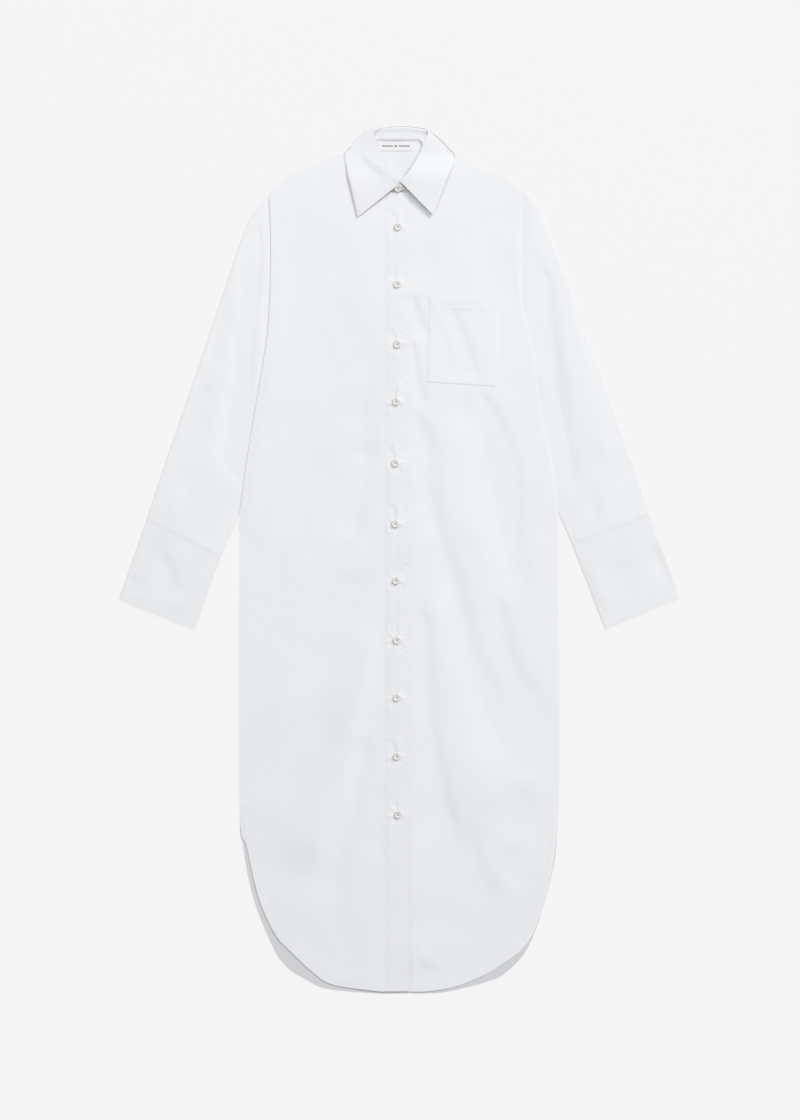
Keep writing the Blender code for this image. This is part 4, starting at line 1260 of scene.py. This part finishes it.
def make_cuff(side, cloth, colours):
    sleeve = SLEEVES[side]
    start_outer, start_inner = np.array(sleeve.outer[-1]) * MM, np.array(sleeve.inner[-1]) * MM
    end_outer, end_inner = np.array(sleeve.cuff_outer) * MM, np.array(sleeve.cuff_inner) * MM
    down = (end_outer + end_inner) - (start_outer + start_inner)
    gap = down / np.linalg.norm(down) * SEAM
    outer = np.linspace(start_outer + gap, end_outer, CUFF_ROWS)
    inner = np.linspace(start_inner + gap, end_inner, CUFF_ROWS)
    ends = (np.stack([outer[0], inner[0]]), np.stack([outer[-1], inner[-1]]))

    def height(x, y):
        d = np.minimum(distance(x, y, outer[::10]), distance(x, y, inner[::10]))
        rise = CUFF_EDGE + CUFF_ROUND * swell(d, TUBE_ROUND) + CUFF_AIR * swell(d, CUFF_REACH)
        shape = (creases(x, y, CUFF_CREASES) + waves(x, y, CUFF_WAVES)) * ease(d / (12 * MM))
        at_seam = distance(x, y, ends[0])
        rise += CUFF_SEAM_STEP * (1 - ease((at_seam - 3 * MM) / (3 * MM))) * ease(d / (6 * MM))
        for k, end in enumerate(ends):
            near, along, _ = nearest(x, y, end)
            shape += CUFF_PUCKER * bump_line(near, 5 * MM, 4 * MM) * puckers(along * CUFF_SPAN, 6.0 + k)
        return rise + cloth.crease * shape

    piece, plan = tube(f"cuff_{side}_cloth", outer, inner, height, CUFF_PLY * cloth.interlined,
                       interlined(colours), CUFF_COLUMNS)
    step = (outer[-1] - outer[0]) / np.linalg.norm(outer[-1] - outer[0]) * 5 * MM
    runs = []
    for end, sign in zip(ends, (1, -1)):
        line = np.linspace(end[0], end[1], 60)[3:-3] + sign * step
        runs.append(on_surface(line, height))
    seam = sew(f"cuff_{side}_stitches", runs, cloth, thread_finish(colours.thread))
    declare(piece, f"cuff_{side}")


# ---------------------------------------------------------------- collar

def pressed(x, y):
    """Share of its full height that the collar keeps: it lies flatter behind and on the right leaf."""
    leaf = PRESS_RIGHT + (PRESS_LEFT - PRESS_RIGHT) * ease((x + 30 * MM) / (50 * MM))
    return leaf + (PRESS_BACK - leaf) * ease((y - 0.585) / 0.05)


def strip_grid(lines, rows, columns, shape=None):
    """Points and outward normals (rows, columns, 6) of a surface through key lines along the collar."""
    keys = np.stack([smooth(line, rows) for line in lines], axis=1)
    grid = np.stack([smooth(section, columns, 1.0) for section in keys])
    level = grid[..., 2]
    grid[..., 2] = np.maximum(level * pressed(grid[..., 0], grid[..., 1]), np.minimum(level, PRESS_LEAST))
    if shape:
        grid[..., 2] += shape(grid[..., 0], grid[..., 1])
    grid[..., 2] = np.maximum(grid[..., 2], 0)
    normal = np.cross(np.gradient(grid, axis=0), np.gradient(grid, axis=1))
    normal /= np.linalg.norm(normal, axis=2)[..., None]
    return np.concatenate([grid, normal], axis=2)


def strip(name, surface, ply, made):
    rows, columns = surface.shape[:2]
    outer = surface[..., :3].reshape(-1, 3)
    inner = outer - surface[..., 3:].reshape(-1, 3) * ply
    inner[:, 2] = np.maximum(inner[:, 2], 0)
    return shell(name, outer, inner, grid_quads(rows, columns), made)


def line_inside(lines, by):
    """The point at that distance along each of several lines (count, points, 6), from its first point."""
    found = []
    for line in lines:
        along = np.concatenate([[0], np.cumsum(np.linalg.norm(np.diff(line[:, :3], axis=0), axis=1))])
        found.append([np.interp(by, along, line[:, k]) for k in range(line.shape[1])])
    return np.array(found)


def make_collar(cloth, colours):
    """The fall lies in two leaves on the fronts and is tucked under the stand behind the neck."""
    roll, turn, edge = (np.array(line) for line in zip(*FALL))
    crown = roll * (1 - CROWN_SHARE) + turn * CROWN_SHARE + (0, 0, CROWN_RISE)
    middle = roll * 0.5 + turn * 0.5 + (0, 0, MIDDLE_RISE)
    lower = turn * (1 - LOWER_SHARE) + edge * LOWER_SHARE
    lower[:, 2] = np.where(edge[:, 2] > 0, lower[:, 2], LOWER_TUCKED)

    def shape(x, y):
        return cloth.crease * (creases(x, y, COLLAR_CREASES) + waves(x, y, COLLAR_WAVES))

    surface = strip_grid((roll, crown, middle, turn, lower, edge), COLLAR_ROWS, COLLAR_COLUMNS, shape)
    piece = strip("collar_cloth", surface, cloth.interlined, interlined(colours))
    leaf = int(COLLAR_ROWS * LEAF_SHARE)
    from_edge = surface[:, ::-1]
    runs = [line_inside(rows, COLLAR_STITCHED) for rows in (from_edge[8:leaf], from_edge[-leaf:-8])]
    for ends in (surface, surface[::-1]):
        runs.append(line_inside(ends.transpose(1, 0, 2)[1:-8], COLLAR_STITCHED))
    seam = sew("collar_stitches", runs, cloth, thread_finish(colours.thread))
    declare(piece, "collar")


def make_stand(cloth, colours):
    seam, top = (np.array(line) for line in zip(*STAND))
    surface = strip_grid((top, top * 0.5 + seam * 0.5, seam), STAND_ROWS, STAND_COLUMNS)
    piece = strip("collar_stand_cloth", surface, cloth.interlined, interlined(colours))
    run = line_inside(surface[2:-2, ::-1], STAND_STITCHED)
    stitches = sew("collar_stand_stitches", [run], cloth, thread_finish(colours.thread))
    declare(piece, "collar_stand")


# ---------------------------------------------------------------- buttons

# Section of a button from its middle out: share of the radius and of the height
BUTTON_SECTION = ((0.0, 0.70), (0.50, 0.68), (0.60, 0.72), (0.70, 0.90), (0.80, 1.0), (0.90, 0.96),
                  (0.98, 0.75), (1.0, 0.50), (0.96, 0.20), (0.80, 0.0))
BUTTON_SIDES = 56
BUTTON_HEIGHT = 2.4 * MM
BUTTON_THREAD = 0.72          # its shade beside the cloth's thread
COLLAR_BUTTON_TILT = 0.22     # radians
HOLE_OFFSET, HOLE_RADIUS, HOLE_DEPTH = 0.21, 0.115, 0.42     # shares of the radius, and of the height


def button_mesh(name, radius, height, rings):
    """A four-hole button: a raised rim round a shallow dish with pits for its holes."""
    shares, levels = zip(*BUTTON_SECTION)
    steps = np.concatenate([np.linspace(0, 0.46, rings)[1:], np.linspace(0.5, 0.9, 7)])
    section = [(share, float(np.interp(share, shares[:6], levels[:6]))) for share in steps]
    section += list(BUTTON_SECTION[6:])
    points, faces = [(0.0, 0.0, levels[0] * height)], []
    holes = [(HOLE_OFFSET * sx, HOLE_OFFSET * sy) for sx in (-1, 1) for sy in (-1, 1)]
    for share, level in section:
        for k in range(BUTTON_SIDES):
            turn = 2 * np.pi * k / BUTTON_SIDES
            x, y = share * np.cos(turn), share * np.sin(turn)
            z = level
            if share < 0.5:
                d = min(np.hypot(x - hx, y - hy) for hx, hy in holes)
                z -= HOLE_DEPTH * (1 - float(ease((d - HOLE_RADIUS * 0.75) / (HOLE_RADIUS * 0.5))))
            points.append((x * radius, y * radius, z * height))
    for k in range(BUTTON_SIDES):
        faces.append((0, 1 + k, 1 + (k + 1) % BUTTON_SIDES))
    for ring in range(len(section) - 1):
        for k in range(BUTTON_SIDES):
            n = (k + 1) % BUTTON_SIDES
            a, b = 1 + ring * BUTTON_SIDES, 1 + (ring + 1) * BUTTON_SIDES
            faces.append((a + k, b + k, b + n, a + n))
    last = 1 + (len(section) - 1) * BUTTON_SIDES
    faces.append(tuple(range(last, last + BUTTON_SIDES))[::-1])
    return points, faces


def make_button(node, tilt, cloth, colours):
    """A button in its node's place, with the thread crossed through its four holes."""
    low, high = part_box(node)
    radius = (high.x - low.x) / 2
    x, y = (low.x + high.x) / 2, (low.y + high.y) / 2
    if node == "button_collar":
        level = low.z * PRESS_RIGHT + 0.5 * (high.z - low.z)
    else:
        on_band = float(band_height(np.array([x]), np.array([y]), cloth)[0])
        level = on_band + 0.2 * MM + BUTTON_HEIGHT / 2
    centre = Vector((x, y, level))
    lowered = Matrix.Translation((0, 0, -BUTTON_HEIGHT / 2))
    place = Matrix.Translation(centre) @ Matrix.Rotation(tilt, 4, "X") @ lowered
    points, faces = button_mesh(node, radius, BUTTON_HEIGHT, cloth.button_rings)
    piece = mesh_piece(f"{node}_resin", points, faces, button_finish(colours.button))
    piece.matrix_world = place
    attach(piece, BODY)
    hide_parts(node)
    offset, level = HOLE_OFFSET * radius, 0.74 * BUTTON_HEIGHT
    runs = []
    for sx, shift in ((1, 0.0), (-1, 0.12 * MM)):
        ends = [Vector((way * sx * offset, way * offset, level + shift)) for way in (-1, 1)]
        up = place.to_3x3() @ Vector((0, 0, 1))
        for side in (-0.16 * MM, 0.16 * MM):
            moved = [place @ (end + Vector((side, -sx * side, 0))) for end in ends]
            runs.append(np.array([[*point, *up] for point in moved]))
    sew(f"{node}_thread", runs, short_stitch(cloth), thread_finish(colours.thread, BUTTON_THREAD))


# ---------------------------------------------------------------- floor, lights and camera

def make_floor(studio):
    """A wide pale floor that curves up all round. It throws no light back on the dress."""
    reach, bend, rings, sides = 5.5, 2.0, 16, 64
    points, faces = [(0.0, 0.0, 0.0)], []
    turns = 2 * np.pi * np.arange(sides) / sides
    section = [(reach, 0.0)] + [(reach + bend * np.sin(a), bend * (1 - np.cos(a)))
                                for a in np.linspace(0, np.pi / 2, rings)[1:]]
    for across, level in section:
        points += [(across * np.cos(turn), across * np.sin(turn), level) for turn in turns]
    for k in range(sides):
        n = (k + 1) % sides
        faces.append((0, 1 + k, 1 + n))
        for ring in range(len(section) - 1):
            a, b = 1 + ring * sides, 1 + (ring + 1) * sides
            faces.append((a + k, b + k, b + n, a + n))
    made, shader = finish("pale floor", studio.floor, 0.9)
    colour = tuple(value * studio.glow for value in studio.floor)
    shader.inputs["Base Color"].default_value = (*(value * (1 - studio.glow) for value in studio.floor), 1)
    shader.inputs["Emission Color"].default_value = (*colour, 1)
    shader.inputs["Emission Strength"].default_value = 1.0
    shader.inputs["Specular IOR Level"].default_value = 0.0
    floor = mesh_piece("floor", points, faces, made)
    floor.location.z = -0.2 * MM
    floor.visible_diffuse = False
    floor.visible_glossy = False


def make_light(name, place, size, power):
    """A soft lamp aimed at the dress's middle that the camera doesn't see."""
    lamp = bpy.data.lights.new(name, "AREA")
    lamp.size = size
    lamp.energy = power
    holder = bpy.data.objects.new(name, lamp)
    holder.location = place
    holder.rotation_euler = (-Vector(place)).to_track_quat("-Z", "Y").to_euler()
    holder.visible_camera = False
    bpy.context.scene.collection.objects.link(holder)


HORIZON = 0.22        # share of the light from straight above that comes from the horizon


def make_sky(fill):
    """Light from above that is weaker towards the horizon, so rounded edges darken all round."""
    world = bpy.data.worlds.new("studio")
    world.use_nodes = True
    nodes, links = world.node_tree.nodes, world.node_tree.links
    place, split = nodes.new("ShaderNodeTexCoord"), nodes.new("ShaderNodeSeparateXYZ")
    ramp = nodes.new("ShaderNodeMapRange")
    ramp.inputs["To Min"].default_value, ramp.inputs["To Max"].default_value = HORIZON * fill, fill
    links.new(place.outputs["Generated"], split.inputs["Vector"])
    links.new(split.outputs["Z"], ramp.inputs["Value"])
    links.new(ramp.outputs["Result"], nodes["Background"].inputs["Strength"])
    nodes["Background"].inputs["Color"].default_value = (1.0, 1.0, 1.0, 1)
    bpy.context.scene.world = world


def make_stage(studio):
    make_floor(studio)
    make_light("key light", (8.5, 10.3, 8.7), 5.0, studio.key)
    make_light("top light", (0, 2.4, 3.2), 1.6, studio.top)
    make_sky(studio.fill)
    bpy.context.scene.view_settings.view_transform = "Standard"
    camera = bpy.data.cameras.new("camera")
    camera.sensor_width = 36.0
    camera.lens = camera.sensor_width * studio.height / studio.framed
    holder = bpy.data.objects.new("camera", camera)
    holder.location = (0, 0, studio.height)
    bpy.context.scene.collection.objects.link(holder)
    bpy.context.scene.camera = holder


# ---------------------------------------------------------------- operators

def settings(context):
    scene = context.scene
    return scene.dress_cloth, scene.dress_colours


class DRESS_OT_back(bpy.types.Operator):
    """Lay the back on the floor"""

    bl_idname = "dress.back"
    bl_label = "Back"

    def execute(self, context):
        make_back(*settings(context))
        return {"FINISHED"}


class DRESS_OT_fronts(bpy.types.Operator):
    """Lay both fronts on the back, with their creases and turned hems"""

    bl_idname = "dress.fronts"
    bl_label = "Fronts"

    def execute(self, context):
        for side in HALVES:
            make_front(side, *settings(context))
        return {"FINISHED"}


class DRESS_OT_band(bpy.types.Operator):
    """Sew the button band and its buttonholes on the right front"""

    bl_idname = "dress.band"
    bl_label = "Button band"

    def execute(self, context):
        make_band(*settings(context))
        return {"FINISHED"}


class DRESS_OT_pocket(bpy.types.Operator):
    """Sew the patch pocket on the left front"""

    bl_idname = "dress.pocket"
    bl_label = "Pocket"

    def execute(self, context):
        make_pocket(*settings(context))
        return {"FINISHED"}


class DRESS_OT_label(bpy.types.Operator):
    """Sew the label inside the back of the neck"""

    bl_idname = "dress.label"
    bl_label = "Neck label"

    def execute(self, context):
        make_label(*settings(context))
        return {"FINISHED"}


class DRESS_OT_sleeves(bpy.types.Operator):
    """Lay both sleeves beside the body"""

    bl_idname = "dress.sleeves"
    bl_label = "Sleeves"

    def execute(self, context):
        for side in SLEEVES:
            make_sleeve(side, *settings(context))
        return {"FINISHED"}


class DRESS_OT_cuffs(bpy.types.Operator):
    """Join the deep cuffs to the sleeves"""

    bl_idname = "dress.cuffs"
    bl_label = "Cuffs"

    def execute(self, context):
        for side in SLEEVES:
            make_cuff(side, *settings(context))
        return {"FINISHED"}


class DRESS_OT_collar(bpy.types.Operator):
    """Set the collar stand in the neck and turn the collar's fall over it"""

    bl_idname = "dress.collar"
    bl_label = "Collar and stand"

    def execute(self, context):
        make_stand(*settings(context))
        make_collar(*settings(context))
        return {"FINISHED"}


class DRESS_OT_buttons(bpy.types.Operator):
    """Sew on the buttons of the band and the collar"""

    bl_idname = "dress.buttons"
    bl_label = "Buttons"

    def execute(self, context):
        for number in range(1, len(PULLS) + 1):
            make_button(f"button_{number:02d}", 0.0, *settings(context))
        make_button("button_collar", COLLAR_BUTTON_TILT, *settings(context))
        return {"FINISHED"}


class DRESS_OT_stage(bpy.types.Operator):
    """Set the floor, the lights and the camera"""

    bl_idname = "dress.stage"
    bl_label = "Floor, lights and camera"

    def execute(self, context):
        make_stage(context.scene.dress_studio)
        return {"FINISHED"}


PIECES = (DRESS_OT_back, DRESS_OT_sleeves, DRESS_OT_cuffs, DRESS_OT_fronts, DRESS_OT_band, DRESS_OT_pocket,
          DRESS_OT_label, DRESS_OT_collar, DRESS_OT_buttons, DRESS_OT_stage)


class DRESS_PT_panel(bpy.types.Panel):
    """Settings and steps of the shirt dress"""

    bl_label = "Shirt Dress"
    bl_idname = "DRESS_PT_panel"
    bl_space_type = "VIEW_3D"
    bl_region_type = "UI"
    bl_category = "Shirt Dress"

    def draw(self, context):
        scene = context.scene
        for group in (scene.dress_cloth, scene.dress_colours, scene.dress_studio):
            box = self.layout.box()
            for name in group.bl_rna.properties.keys():
                if name not in ("rna_type", "name"):
                    box.prop(group, name)
        for piece in PIECES:
            self.layout.operator(piece.bl_idname)


CLASSES = (DressCloth, DressColours, DressStudio, *PIECES, DRESS_PT_panel)


def register():
    for made in CLASSES:
        bpy.utils.register_class(made)
    bpy.types.Scene.dress_cloth = PointerProperty(type=DressCloth)
    bpy.types.Scene.dress_colours = PointerProperty(type=DressColours)
    bpy.types.Scene.dress_studio = PointerProperty(type=DressStudio)


def unregister():
    for name in ("dress_cloth", "dress_colours", "dress_studio"):
        delattr(bpy.types.Scene, name)
    for made in reversed(CLASSES):
        bpy.utils.unregister_class(made)


def main():
    register()
    for piece in PIECES:
        group, name = piece.bl_idname.split(".")
        getattr(getattr(bpy.ops, group), name)()


if __name__ == "__main__":
    main()
